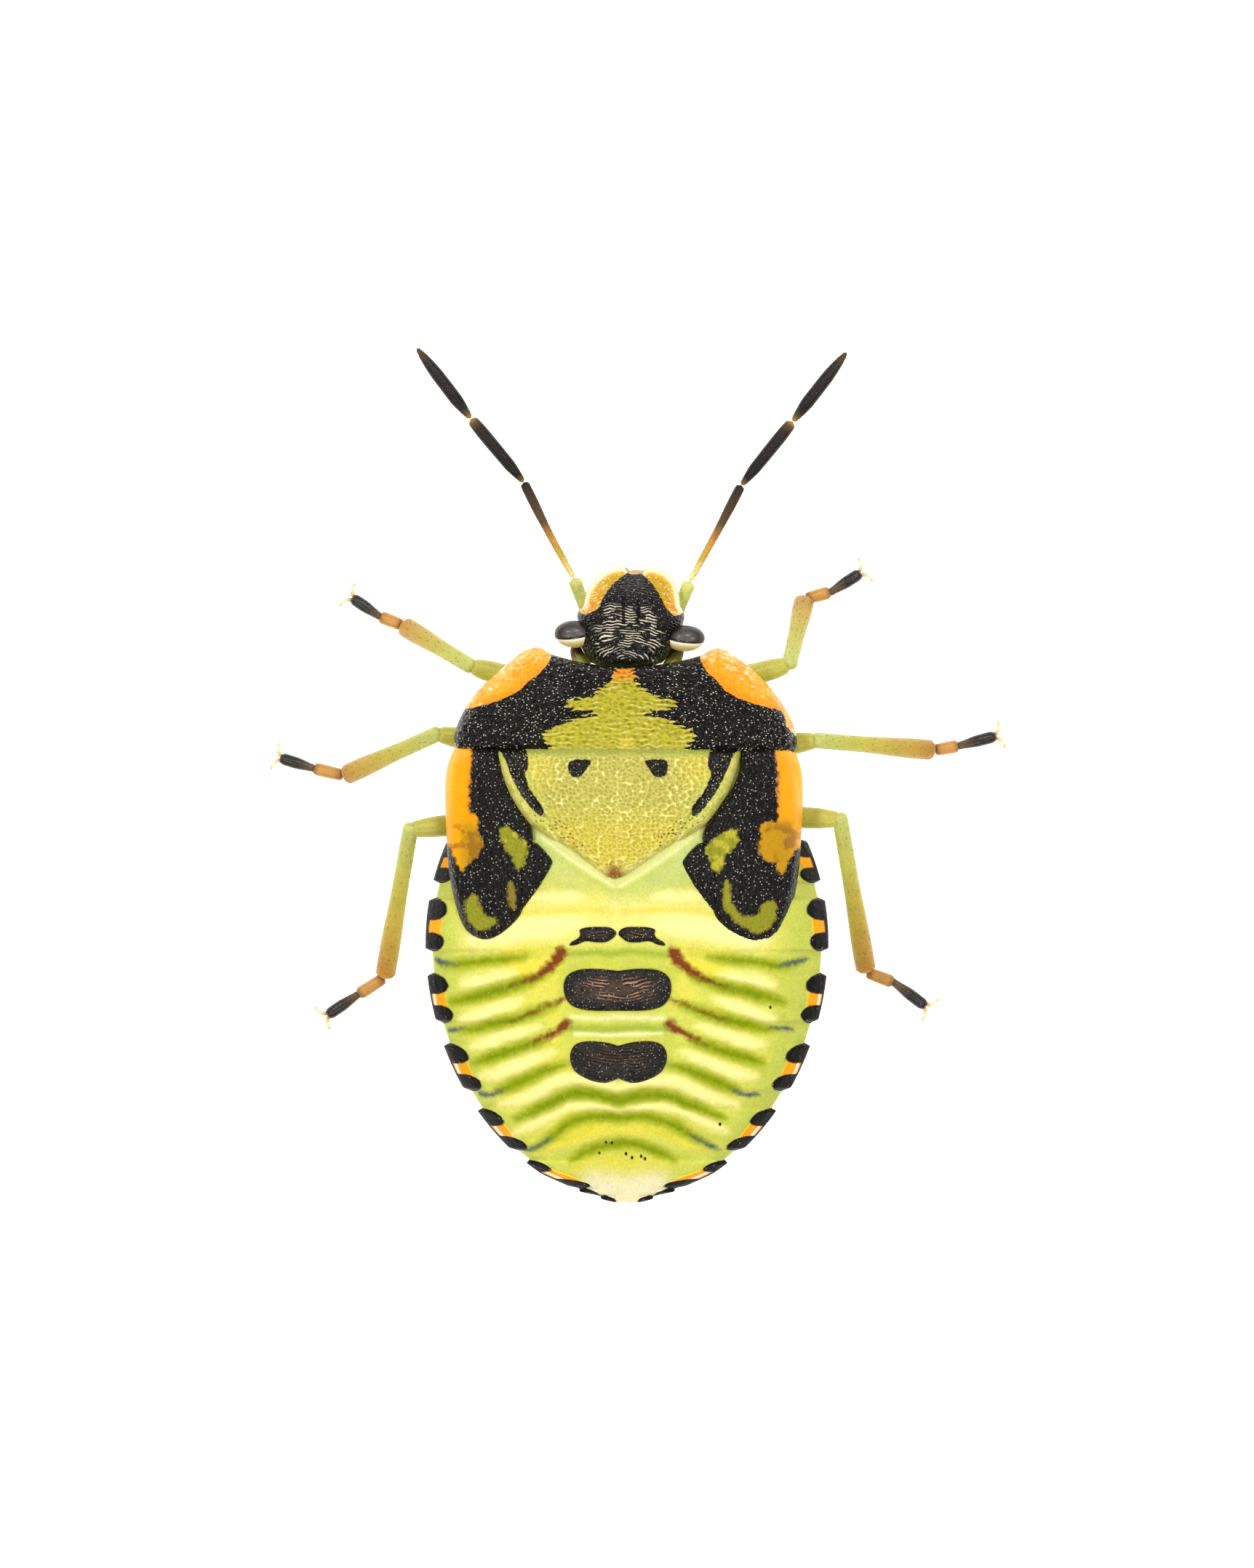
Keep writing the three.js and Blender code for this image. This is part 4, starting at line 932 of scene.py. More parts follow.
def scutellumRelief(x, y, inner):
    # The net on a low dome, with a groove inside each pale side stripe
    s = np.abs(x - midline(y))
    field = smooth(2.0, 1.7, s + 0.55 * y) * smooth(shield["seamY"], shield["frontY"], y)
    pits = shield["pitDeep"] * pitBowl(spots(x, y, shield["pitCell"], 71)[0], 0.42)
    dome = shield["domeHigh"] * smooth(1.9, 0.4, s + 0.5 * np.maximum(y, 0)) * smooth(-0.5, 0.2, y)
    along = np.exp(-((s - 1.95 + 0.62 * y) / shield["grooveWide"]) ** 2)
    groove = -shield["grooveDeep"] * along * smooth(-0.4, 0.0, y)
    return (shield["netHigh"] * scutellumNet(x, y) - 0.3 * pits) * (0.25 + 0.75 * field) + dome + groove


def scutellumLayers(x, y, inner):
    # Faint pits everywhere behind the front seam, and a row of dark specks beside each stripe
    d = spots(x, y, shield["pitCell"], 71)[0]
    dots, number = spots(x, y, 0.085, 79)
    row = inside(np.abs(x - midline(y)), y, scutellumRow)
    speck = np.clip(1.5 - dots / 0.2, 0, 1) * (number > 0.45) * smooth(-0.02, 0.06, row)
    faint = np.clip(1.1 - d / 0.32, 0, 1) * 0.15 * smooth(shield["seamY"], shield["frontY"], y)
    return {"dark": scutellumMarks(x, y), "pit": faint + speck * 2.2}


def scutellumPaint(x, y, inner):
    # Olive net with painted shade, moss, in its pits and painted highlights, cream, on its crests, a plain
    # strip along the front, straw edges and a brown tip
    s = np.abs(x - midline(y))
    net = scutellumNet(x, y)
    tip = hump(x, y, shield["tip"], (shield["tipSize"], shield["tipSize"]))
    return laid(plain(x, "oliveLight"),
                ("moss", 0.75 * smooth(-0.1, -0.8, net)),
                ("cream", 0.7 * smooth(0.5, 0.95, net) * smooth(0.35, 0.6, layered(x * 4, y * 4, 76))),
                ("yolk", 0.3 * smooth(0.4, 1.3, y) + 0.25 * smooth(1.0, 1.6, s) * smooth(0.4, 0.0, y)),
                ("sage", 0.9 * smooth(shield["frontY"], shield["seamY"], y)),
                ("pistachio", 0.6 * smooth(1.5, 2.0, s + 0.5 * y)),
                ("straw", 0.3 * np.exp(-(s / 0.05) ** 2) * smooth(-0.2, 0.3, y)),
                ("straw", 0.75 * smooth(0.24, 0.1, inner) * smooth(-0.4, -0.2, y)
                 * smooth(0.3, 0.6, layered(x * 5, y * 5, 77))),
                ("brown", 0.9 * np.clip(tip * 1.4, 0, 1)))


# Its cream dots are painted glints all over the plate
scutellumLook = dict(shellLook, flesh=0.2, pits=("pit", "bark", 0.5), grain=0.14, gloss=0.25, rough=0.3,
                     marks=[("dark", "black", 0.07, 0.03)], dotsOn="all",
                     dots=[(15, (1, 1, 1), 0.24, "cream", 0.6)])


def scutellumRise(x, y):
    # It lies a little over the wing pads' roots, and its front edge dips under the neck shield
    return 0.07 * smooth(-0.4, 0.2, y) - 0.12 * smooth(-0.42, -0.56, y)


scutellum = plateMesh("scutellumPlate", plates["scutellum"], scutellumEdges, scutellumRelief,
                      scutellumLayers, scutellumPaint, scutellumRise)
finishPiece(scutellum, shellMaterial("scutellum", scutellumLook), "scutellum", "scutellum")

# The wing pads, drawn as the left one; the right one is its mirror, which sits nearer the midline inside
padEdges = (
    [(3.41, -0.6), (3.0, -0.6), (2.5, -0.6)],
    [(3.22, 3.06), (3.06, 3.2), (2.87, 3.27), (2.68, 3.25), (2.5, 3.16)],
    [(3.41, -0.6), (3.53, -0.36), (3.61, -0.05), (3.63, 0.4), (3.61, 0.9), (3.585, 1.38), (3.54, 1.95),
     (3.44, 2.45), (3.33, 2.83), (3.22, 3.06)],
    [(2.5, -0.6), (2.5, -0.2), (2.38, 0.2), (2.2, 0.55), (1.98, 0.88), (1.86, 1.2), (1.94, 1.5), (2.0, 1.8),
     (2.02, 2.3), (2.08, 2.7), (2.28, 2.98), (2.5, 3.16)])
hindPadEdges = (
    [(2.08, 1.34), (1.9, 1.31), (1.78, 1.33)],
    [(2.5, 3.0), (2.3, 2.95), (2.16, 2.8)],
    [(2.08, 1.34), (2.25, 1.8), (2.38, 2.4), (2.5, 3.0)],
    [(1.78, 1.33), (1.62, 1.48), (1.47, 1.67), (1.49, 1.8), (1.66, 2.1), (1.9, 2.45), (2.16, 2.8)])
padMarkings = {
    "left": {
        "orange": [(3.12, -0.8), (3.12, 0.0), (3.13, 0.6), (3.12, 0.76), (2.97, 0.82), (2.95, 1.1),
                   (2.88, 1.3), (2.93, 1.55), (3.1, 1.7), (3.26, 1.88), (3.36, 1.75), (3.45, 1.55),
                   (3.56, 1.36), (3.8, 1.2), (3.8, -0.8)],
        "patch": [(2.5, 1.02), (2.3, 1.03), (2.22, 1.12), (2.12, 1.25), (1.98, 1.33), (1.98, 1.55),
                  (2.05, 1.8), (2.2, 1.84), (2.27, 1.65), (2.36, 1.5), (2.46, 1.35), (2.51, 1.15)],
        "kidney": [(3.2, 2.42), (3.05, 2.34), (2.93, 2.4), (2.9, 2.58), (2.78, 2.74), (2.6, 2.8),
                   (2.56, 2.95), (2.75, 3.06), (2.95, 3.1), (3.1, 3.0), (3.2, 2.82), (3.24, 2.6)],
        "streak": [(2.36, 2.1), (2.25, 2.12), (2.2, 2.4), (2.22, 2.66), (2.34, 2.62), (2.38, 2.35)]},
    "right": {
        "orange": [(3.0, -0.8), (3.0, 0.0), (3.0, 0.84), (2.9, 0.9), (2.68, 0.96), (2.64, 1.05),
                   (2.68, 1.2), (2.6, 1.4), (2.68, 1.6), (2.82, 1.7), (2.96, 1.76), (3.0, 1.9), (3.1, 1.96),
                   (3.18, 1.8), (3.25, 1.6), (3.35, 1.48), (3.6, 1.4), (3.8, 1.2), (3.8, -0.8)],
        "patch": [(2.06, 1.06), (2.18, 1.1), (2.2, 1.3), (2.1, 1.45), (1.96, 1.55), (1.9, 1.8), (1.8, 1.92),
                  (1.7, 1.85), (1.63, 1.6), (1.56, 1.45), (1.66, 1.3), (1.86, 1.16)],
        "kidney": [(2.98, 2.52), (2.82, 2.47), (2.66, 2.54), (2.6, 2.7), (2.36, 2.77), (2.2, 2.66),
                   (2.1, 2.45), (2.06, 2.15), (1.96, 2.06), (1.88, 2.3), (1.9, 2.58), (2.08, 2.86),
                   (2.38, 3.08), (2.64, 3.15), (2.84, 3.04), (2.98, 2.8)],
        "streak": [(2.0, 2.1), (1.94, 2.12), (1.9, 2.3), (1.94, 2.5), (2.02, 2.4), (2.04, 2.2)]}}

padShape = {"cell": 0.07, "bumpHigh": 0.02, "swellHigh": 0.05, "grooveAt": 3.06, "grooveWide": 0.05,
            "grooveDeep": 0.03, "rough": 0.012}


def mirroredPad(line):
    # The right side's point for a left one: shifted towards the midline, more at the inner side and the tip
    out = []
    for px, py in line:
        shift = 0.12 + 0.26 * float(smooth(3.3, 1.6, px)) + 0.06 * float(smooth(2.2, 3.2, py))
        out.append((shift - px, py + 0.06 * float(smooth(1.2, 3.0, py))))
    return out


def padMarks(x, y):
    # Distance inside the coloured patches of each pad
    word = "left" if np.mean(x) > 0 else "right"
    return {name: inside(np.abs(x), y, outline) for name, outline in padMarkings[word].items()}


def padRelief(x, y, inner):
    # Small round bumps on the black, a slow swell, and a groove along the front of the outer edge
    orange = smooth(-0.03, 0.08, padMarks(x, y)["orange"])
    bump = padShape["bumpHigh"] * pitBowl(spots(x, y, padShape["cell"], 91)[0], 0.4) * (1 - orange)
    swell = padShape["swellHigh"] * layered(x * 1.6, y * 1.6, 93)
    line = np.exp(-((np.abs(x) - padShape["grooveAt"]) / padShape["grooveWide"]) ** 2)
    groove = -padShape["grooveDeep"] * line * smooth(0.7, 0.5, y)
    return bump + swell + groove + roughSkin(x, y, 14, 95, padShape["rough"])


def padLayers(x, y, inner):
    # Dark outside the coloured patches
    m = padMarks(x, y)
    return {"dark": -np.max([m["orange"], m["patch"], m["kidney"] - 0.02, m["streak"] - 0.02], axis=0)}


def padPaint(x, y, inner):
    # Moss and olive patches on the inner part, and an orange margin that darkens to its hind end
    m = padMarks(x, y)
    base = laid(plain(x, "moss"),
                ("olive", smooth(0.4, 0.6, layered(x * 6, y * 6, 97)) * smooth(2.2, 1.8, y)),
                ("umber", 0.45 * smooth(0.08, 0.0, m["kidney"]) * smooth(2.0, 2.2, y)))
    orange = laid(plain(x, "orange"),
                  ("honey", 0.8 * smooth(0.26, 0.06, inner) * smooth(1.0, 0.2, y)),
                  ("ochreDark", 0.9 * smooth(0.7, 1.1, y) * smooth(3.45, 3.15, np.abs(x))),
                  ("umber", 0.6 * smooth(0.8, 1.1, y) * smooth(0.5, 0.7, layered(x * 5, y * 5, 99))),
                  ("amber", 0.5 * smooth(0.14, 0.0, m["orange"]) * smooth(1.0, 0.6, y)))
    return np.where((m["orange"] > -0.1)[..., None], orange, base)


# Its dots are painted glints on the black
padLook = dict(shellLook, rough=0.3, marks=[("dark", "black", 0.2, 0.08)],
               dots=[(14, (1, 1, 1), 0.24, "glint", 0.6)])
padMaterial = shellMaterial("wingPad", padLook)
for word in ("left", "right"):
    edges, hindEdges = padEdges, hindPadEdges
    if word == "right":
        edges, hindEdges = tuple(map(mirroredPad, edges)), tuple(map(mirroredPad, hindEdges))
    pad = plateMesh("wingPad_" + word, plates["pad"], edges, padRelief, padLayers, padPaint,
                    lambda x, y: 0.06 + 0.04 * smooth(0.5, 1.5, y) - 0.14 * smooth(-0.2, -0.55, y))
    finishPiece(pad, padMaterial, "wing_pad", "wing_pad_" + word)
    small = plateMesh("hindPad_" + word, plates["hindPad"], hindEdges, padRelief, padLayers, padPaint,
                      lambda x, y: 0.03 + 0 * x)
    finishPiece(small, padMaterial, "wing_pad")


print("thorax")
thorax = {"rings": 60, "sides": 90, "frontY": -2.2, "hindY": 1.3, "inset": 0.3, "rim": 2.45, "belly": 1.9,
          "underBack": 0.35, "endPower": 12, "rough": 0.03}


def thoraxShape():
    # Rings under the plates: a roof just below the back and a shallow round belly
    v = np.linspace(0, 1, thorax["rings"])[:, None]
    angle = np.linspace(0, 2 * np.pi, thorax["sides"], endpoint=False)[None, :]
    y = thorax["frontY"] + (thorax["hindY"] - thorax["frontY"]) * v + 0 * angle
    close = np.sqrt(np.clip(1 - np.abs(2 * v - 1) ** thorax["endPower"], 0, 1))
    half = (plateHalfWidth(y) - thorax["inset"]) * (0.35 + 0.65 * close)
    x = half * np.cos(angle)
    up = np.sin(angle)
    roof = np.maximum(backHeight(x, y) - thorax["underBack"], thorax["rim"])
    z = np.where(up > 0, thorax["rim"] + (roof - thorax["rim"]) * np.minimum(1, 3 * up),
                 thorax["rim"] + (thorax["rim"] - thorax["belly"]) * up)
    mid = thorax["rim"] - 0.1
    z = mid + (z - mid) * close
    return x, y, z


x, y, z = thoraxShape()
z = z + roughSkin(x, y, 5, 101, thorax["rough"])
paint = laid(plain(x, "pale"), ("lime", smooth(0.4, 0.7, layered(x * 2, y * 2, 103))))
block = joined("thoraxUnderside", [np.stack([x, y, z], -1)], paint)
fleshLook = {"grain": 0.15, "rough": 0.45, "flesh": 0.3, "depth": 0.3, "coat": 0.1, "bump": 0.01}
finishPiece(block, shellMaterial("underside", fleshLook), "underside", "thorax")


print("head")
head = {"base": (0.03, -2.2), "yaw": 5.5, "rows": 215, "columns": 215, "edge": 0.6, "rimShare": 0.45,
        "crownPower": (2.2, 0.62), "bowlPower": (2, 0.5), "hindFall": 2.6, "bulge": 0.05, "swell": 0.05,
        "wrinkleTurns": 118, "wrinkleHigh": 0.014, "pitCell": 0.06, "pitDeep": 0.022,
        "grooveWide": 0.032, "grooveDeep": 0.05, "crestGrooveWide": 0.03, "rough": 0.016}
headTop = curveThrough([(-0.2, 3.28), (0, 3.3), (0.8, 3.22), (1.3, 2.95), (1.7, 2.58), (2.0, 2.3)])
headUnder = curveThrough([(-0.2, 2.2), (0, 2.1), (0.9, 1.9), (1.5, 1.9), (2.0, 2.12)])
headEdges = (
    [(0.62, -3.96), (0.5, -4.06), (0.35, -4.14), (0.2, -4.18), (0.08, -4.19), (0.0, -4.16), (-0.06, -4.11),
     (-0.13, -4.12), (-0.2, -4.125), (-0.27, -4.115), (-0.32, -4.115), (-0.38, -4.15), (-0.48, -4.17),
     (-0.62, -4.14), (-0.78, -4.07), (-0.88, -3.98)],
    [(0.72, -2.26), (0.4, -2.15), (0.03, -2.1), (-0.35, -2.15), (-0.7, -2.26)],
    [(0.62, -3.96), (0.72, -3.85), (0.8, -3.72), (0.85, -3.55), (0.88, -3.4), (0.96, -3.32), (1.0, -3.2),
     (0.98, -3.08), (0.97, -2.95), (0.97, -2.8), (0.96, -2.66), (0.9, -2.55), (0.82, -2.4), (0.72, -2.26)],
    [(-0.88, -3.98), (-0.97, -3.87), (-1.02, -3.72), (-1.05, -3.55), (-1.07, -3.4), (-1.12, -3.3),
     (-1.15, -3.18), (-1.12, -3.03), (-1.06, -2.9), (-1.01, -2.78), (-0.96, -2.66), (-0.92, -2.55),
     (-0.83, -2.4), (-0.7, -2.26)])
headBlack = [(0.0, -4.2), (0.0, -4.07), (0.15, -3.95), (0.3, -3.8), (0.4, -3.68), (0.5, -3.5),
             (0.56, -3.36), (0.66, -3.28), (0.85, -3.22), (1.1, -3.3), (1.25, -2.6), (1.1, -1.8),
             (-1.1, -1.8), (-1.3, -2.6), (-1.3, -3.3), (-0.98, -3.2), (-0.82, -3.3), (-0.72, -3.45),
             (-0.66, -3.6), (-0.56, -3.76), (-0.45, -3.9), (-0.32, -4.03), (-0.3, -4.2)]
clypeusTip = [(0.02, -4.2), (-0.03, -4.07), (-0.12, -4.04), (-0.2, -4.035), (-0.28, -4.05), (-0.34, -4.1),
              (-0.3, -4.2)]
grooves = ([(0.06, -3.06), (0.075, -3.25), (0.07, -3.45), (0.03, -3.7), (-0.01, -3.95), (0.0, -4.2)],
           [(-0.23, -3.06), (-0.225, -3.25), (-0.215, -3.45), (-0.25, -3.7), (-0.31, -3.95), (-0.33, -4.2)])


def headCoordinates(x, y):
    # Sideways and forwards in the head's own frame, which is turned a little to its right
    a = math.radians(head["yaw"])
    dx, dy = x - head["base"][0], y - head["base"][1]
    return dx * math.cos(a) - dy * math.sin(a), -dx * math.sin(a) - dy * math.cos(a)


def headWrinkles(s, f):
    # Wrinkles run across in arcs round the front: a sine of the distance from the nape, broken by noise
    wander = 0.13 * layered(s * 2.6, f * 2.6, 111) + 0.035 * noise(s * 9, f * 7, 112)
    arcs = np.sin((np.hypot(s * 0.55, f - 0.1) + wander) * head["wrinkleTurns"])
    return arcs, smooth(0.28, 0.62, noise(s * 8, f * 15, 113))


def headGrooves(x, y, width):
    # 1 along the two grooves that part the middle lobe from its neighbours, falling off as a bell
    return sum(np.exp(-(lineDistance(x, y, smoothLine(g)) / width) ** 2) for g in grooves)


def headCrestHighlights(x, y):
    # Where painted highlights lie on the wrinkles' crests: across the crown, at the nape and beside the
    # grooves, none on the front lobe
    s, f = headCoordinates(x, y)
    arcs, broken = headWrinkles(s, f)
    crown = smooth(0.3, 0.42, f) * smooth(0.8, 0.7, f) * smooth(0.8, 0.6, np.abs(s))
    beside = smooth(0.7, 0.8, f) * smooth(1.3, 1.1, f) * smooth(0.6, 0.45, np.abs(s))
    nape = 0.75 * smooth(0.08, 0.18, f) * smooth(0.45, 0.3, f) * smooth(0.7, 0.5, np.abs(s))
    groove = headGrooves(x, y, head["crestGrooveWide"])
    lit = np.maximum(np.maximum(crown, beside), nape) * (0.55 + 0.6 * layered(s * 6, f * 6, 114))
    return 0.05 * (arcs * broken * lit - 0.36 - 0.5 * groove)


def headRelief(x, y, inner):
    # Wrinkles on the crown, pits at its sides, two grooves, a bulged middle lobe and a swelling by each eye
    s, f = headCoordinates(x, y)
    arcs, broken = headWrinkles(s, f)
    black = smooth(-0.02, 0.06, inside(x, y, headBlack))
    pits = pitBowl(spots(x, y, head["pitCell"], 115)[0], 0.45)
    sides = smooth(0.35, 0.7, np.abs(s))
    tract = smooth(0.25, 0.6, f) * (1 - smooth(1.2, 1.4, f))
    wrinkle = head["wrinkleHigh"] * arcs * (0.3 + 0.7 * broken) * (0.35 + 0.65 * tract) * (1 - 0.5 * sides)
    depth = head["grooveDeep"] * headGrooves(x, y, head["grooveWide"]) * (1 - 0.55 * smooth(1.4, 1.8, f))
    bulge = head["bulge"] * np.exp(-((s + 0.03) / 0.2) ** 2) * smooth(0.75, 1.2, f) * smooth(2.0, 1.6, f)
    swell = head["swell"] * np.exp(-((np.abs(s) - 0.42) / 0.2) ** 2) * smooth(0.9, 0.6, f)
    return (wrinkle - head["pitDeep"] * pits * (0.25 + 0.75 * sides) * black - depth + bulge + swell
            + roughSkin(x, y, 14, 117, head["rough"]))


def headLayers(x, y, inner):
    # Dark on the crown but not on the tip of the middle lobe, with painted highlights on the wrinkles'
    # crests, and pits
    dark = np.minimum(inside(x, y, headBlack), -inside(x, y, clypeusTip))
    d = spots(x, y, head["pitCell"], 115)[0]
    return {"dark": dark, "crest": headCrestHighlights(x, y), "pit": np.clip(1.1 - d / 0.3, 0, 1)}


def headPaint(x, y, inner):
    # Gold with painted highlights in cream on the wrinkles' crests and as scattered dots, an ivory margin
    # with a brown rim, and a tan tip to the middle lobe
    s, f = headCoordinates(x, y)
    arcs, broken = headWrinkles(s, f)
    d, number = spots(x, y, 0.07, 123)
    return laid(plain(x, "gold"),
                ("amber", 0.55 * smooth(1.55, 1.2, f)),
                ("honey", 0.8 * smooth(0.2, 0.1, inner) * smooth(1.2, 1.5, f)),
                ("cream", 0.85 * smooth(0.1, 0.7, arcs * broken) * smooth(1.6, 1.25, f)),
                ("cream", 0.6 * smooth(0.32, 0.18, d) * (number > 0.45)),
                ("ivory", 0.92 * smooth(0.12, 0.08, inner) * smooth(0.9, 1.3, f)),
                ("brown", 0.75 * smooth(0.022, 0.008, inner) * smooth(1.5, 1.25, f)),
                ("tan", 0.8 * smooth(-0.03, 0.02, inside(x, y, clypeusTip))))


def headRound(distance, powers):
    # From 0 at an edge to 1 at a distance in: (1 - (1 - share) to the first power) to the second
    return (1 - (1 - np.clip(distance / head["edge"], 0, 1)) ** powers[0]) ** powers[1]


def headMesh():
    # The crown rounds down over a broad edge, and the underside is a shallower bowl
    x, y = patch(*headEdges, head["columns"], head["rows"])
    inner = edgeDistance(x, y, headEdges)
    f = headCoordinates(x, y)[1]
    front, hind, left, right = headEdges
    fromSides = edgeDistance(x, y, (front, left, right))
    fall = np.minimum(fromSides, head["hindFall"] * edgeDistance(x, y, (hind,)))
    rim = headUnder(f) + head["rimShare"] * (headTop(f) - headUnder(f))
    relief = headRelief(x, y, inner) * smooth(0, 0.08, inner)
    top = rim + (headTop(f) - rim) * headRound(fall, head["crownPower"]) + relief
    bottom = rim - (rim - headUnder(f)) * headRound(inner, head["bowlPower"])
    return pillow("headShell", x, y, top, bottom, headLayers(x, y, inner), headPaint(x, y, inner))


# Its crest mark lays painted highlights on the black wrinkles, and its dots are painted glints on the black
headLook = dict(shellLook, marks=[("dark", "black", 0.08, 0.03), ("crest", "crest", 0.02, 0.03)],
                flesh=0.12, dots=[(17, (0.8, 1.3, 1), 0.2, "glint", 0.7)])
finishPiece(headMesh(), shellMaterial("headShell", headLook), "head_shell", "head")


print("eyes")
eyes = {"left": {"centre": (1.06, -2.83, 2.72), "half": (0.39, 0.275, 0.33)},
        "right": {"centre": (-1.16, -2.745, 2.72), "half": (0.395, 0.265, 0.33)},
        "rings": 90, "sides": 120, "facetCell": 0.5, "facetDeep": 0.008, "rimAt": 0.04}


def eyeShape(spec):
    # An egg from pole to pole along the side-to-side axis, with a flat facet at each of many points
    v = np.linspace(0, np.pi, eyes["rings"])[:, None]
    u = np.linspace(0, 2 * np.pi, eyes["sides"], endpoint=False)[None, :]
    out, fore, upward = np.cos(v) + 0 * u, np.sin(v) * np.cos(u), np.sin(v) * np.sin(u)
    (cx, cy, cz), (hx, hy, hz) = spec["centre"], spec["half"]
    d = spots(out * 9, np.arctan2(upward, fore) * 3, eyes["facetCell"], 131, 0.3)[0]
    facet = 1 - eyes["facetDeep"] * d
    side = 1 if cx > 0 else -1
    p = np.stack([cx + side * hx * out * facet, cy - hy * fore * facet - 0.02 * out * hy,
                  cz + hz * upward * facet], -1)
    return p, -fore - 0.35 * upward - 0.22 * out


def makeEye(name, spec):
    # Dark in front, grey over the top of the dome as a painted reflection, and a pale crescent behind, with
    # a thin dark line between them
    p, hindness = eyeShape(spec)
    rim = hindness + eyes["rimAt"]
    high = (p[..., 2] - spec["centre"][2]) / spec["half"][2]
    # The grey towards the top of the dark dome is a painted reflection
    base = laid(plain(high, "eyeDark"), ("eyeReflection", 0.55 * smooth(0.6, 1.0, high)))
    pale = laid(plain(high, "honeyPale"), ("white", smooth(0.4, 0.1, hindness)))
    return joined(name, [p], np.where((rim > 0)[..., None], pale, base), {"dark": 0.03 - np.abs(rim * 0.3)})


eyeLook = {"grain": 0.1, "rough": 0.25, "gloss": 0.25, "coat": 0.15, "bump": 0.003, "pebble": 30,
           "flesh": 0.15, "depth": 0.08, "marks": [("dark", "soot", 0.01, 0.02)]}
eyeMaterial = shellMaterial("eye", eyeLook)
for word in ("left", "right"):
    finishPiece(makeEye("eyeDome_" + word, eyes[word]), eyeMaterial, "eye", "eye_" + word)


print("feelers and legs")
limbs = {"sides": 26, "perMm": 26, "fewestRings": 14, "endRound": 0.6, "uneven": 0.004, "hairHalf": 0.006,
         "hairRoot": 0.9, "hairEnd": 0.98, "hairLengths": (0.6, 1.2)}


def resampled(points, count):
    # Evenly spaced points on a smooth line through the given ones
    line = smoothLine(points, steps=14)
    run = np.concatenate([[0], np.cumsum(np.linalg.norm(np.diff(line, axis=0), axis=1))])
    at = np.linspace(0, run[-1], count)
    return np.stack([np.interp(at, run, line[:, k]) for k in range(line.shape[1])], -1), run[-1]


def limbGrid(points, widths, flat=1.0, seed=0):
    # A tube whose radius follows (share of length, radius) pairs and closes round at both ends
    length = np.linalg.norm(np.diff(np.array(points, float), axis=0), axis=1).sum()
    count = max(limbs["fewestRings"], int(limbs["perMm"] * length))
    path, length = resampled(points, count)
    t = np.linspace(0, 1, count)
    r = curveThrough(widths)(t)
    cap = np.minimum(1, np.minimum(t, 1 - t) * length / np.maximum(limbs["endRound"] * r, 1e-6))
    r = r * np.sqrt(np.clip(1 - (1 - cap) ** 2, 0, 1))
    g = tubeGrid(path, r, limbs["sides"], flat)
    uneven = layered(g[..., 0] * 6 + g[..., 2] * 3, g[..., 1] * 6, seed) - 0.5
    g = g + (g - path[:, None]) * uneven[..., None] * limbs["uneven"] / np.maximum(r, 0.02)[:, None, None]
    return g, np.broadcast_to(t[:, None], g.shape[:2]), path


def tubes(name, parts):
    # Tubes in one mesh: each part is its points, widths, colour stops and seed
    grids, tones = [], []
    for points, widths, stops, seed in parts:
        g, t, _ = limbGrid(points, widths, seed=seed)
        grids.append(g)
        tones.append(alongColours(t, stops).reshape(-1, 3))
    return joined(name, grids, np.vstack(tones))


def limbPiece(name, points, widths, stops, finish, node, flat=1.0, seed=0):
    # One length of a limb as a finished piece; its path and radii are given back for the hairs
    g, t, path = limbGrid(points, widths, flat, seed)
    finishPiece(joined(name, [g], alongColours(t, stops)), *finish, node)
    return path, curveThrough(widths)(np.linspace(0, 1, len(path)))


def hairGrids(path, radii, count, length, lean, seed, start=0.05):
    # Bristles stand out from a limb and lean towards its far end; each is a cone of four sides
    rng = np.random.default_rng(seed)
    tangent = np.gradient(path, axis=0)
    tangent /= np.linalg.norm(tangent, axis=1)[:, None]
    pick = rng.uniform(start, limbs["hairEnd"], count) * (len(path) - 1)
    i = pick.astype(int)
    angle = rng.uniform(0, 2 * np.pi, count)
    side = np.cross(tangent[i], (0, 0, 1.0))
    side /= np.linalg.norm(side, axis=1)[:, None]
    upward = np.cross(side, tangent[i])
    out = side * np.cos(angle)[:, None] + upward * np.sin(angle)[:, None]
    root = path[i] + out * radii[i][:, None] * limbs["hairRoot"]
    reach = (length * rng.uniform(*limbs["hairLengths"], count))[:, None]
    tip = root + (out * (1 - lean) + tangent[i] * lean) * reach
    w = limbs["hairHalf"]
    corners = [root + side * a + upward * b for a, b in ((w, 0), (0, w), (-w, 0), (0, -w))]
    return [np.stack(corners, 1), np.repeat(tip[:, None], 4, 1)]


def hairObject(name, sets):
    # All bristles of a limb in one mesh: four sides and two small end faces on each
    verts, faces, first = [], [], 0
    k = np.arange(4)
    sides = np.stack([k, (k + 1) % 4, 4 + (k + 1) % 4, 4 + k], -1)
    for lower, upper in sets:
        n = len(lower)
        verts.append(np.concatenate([lower, upper * 0.999 + lower * 0.001], 1).reshape(-1, 3))
        base = np.arange(n)[:, None, None] * 8 + first
        for quads in (sides, [[3, 2, 1, 0]], [[4, 5, 6, 7]]):
            faces.append((base + np.array(quads)[None]).reshape(-1, 4))
        first += n * 8
    return meshObject(name, np.vstack(verts), np.vstack(faces))


def makeHairMaterial():
    # Pale brown and dark brown in turn along a limb
    material = bpy.data.materials.new("bristle")
    material.use_nodes = True
    tree = material.node_tree
    bsdf = tree.nodes["Principled BSDF"]
    bsdf.inputs["Roughness"].default_value = 0.5
    tone = colourMix(tree, objectNoise(tree, perMm["hair"], 2), tuple(colours["hairPale"]),
                     tuple(colours["hairDark"]))
    tree.links.new(tone, bsdf.inputs["Base Color"])
    return material


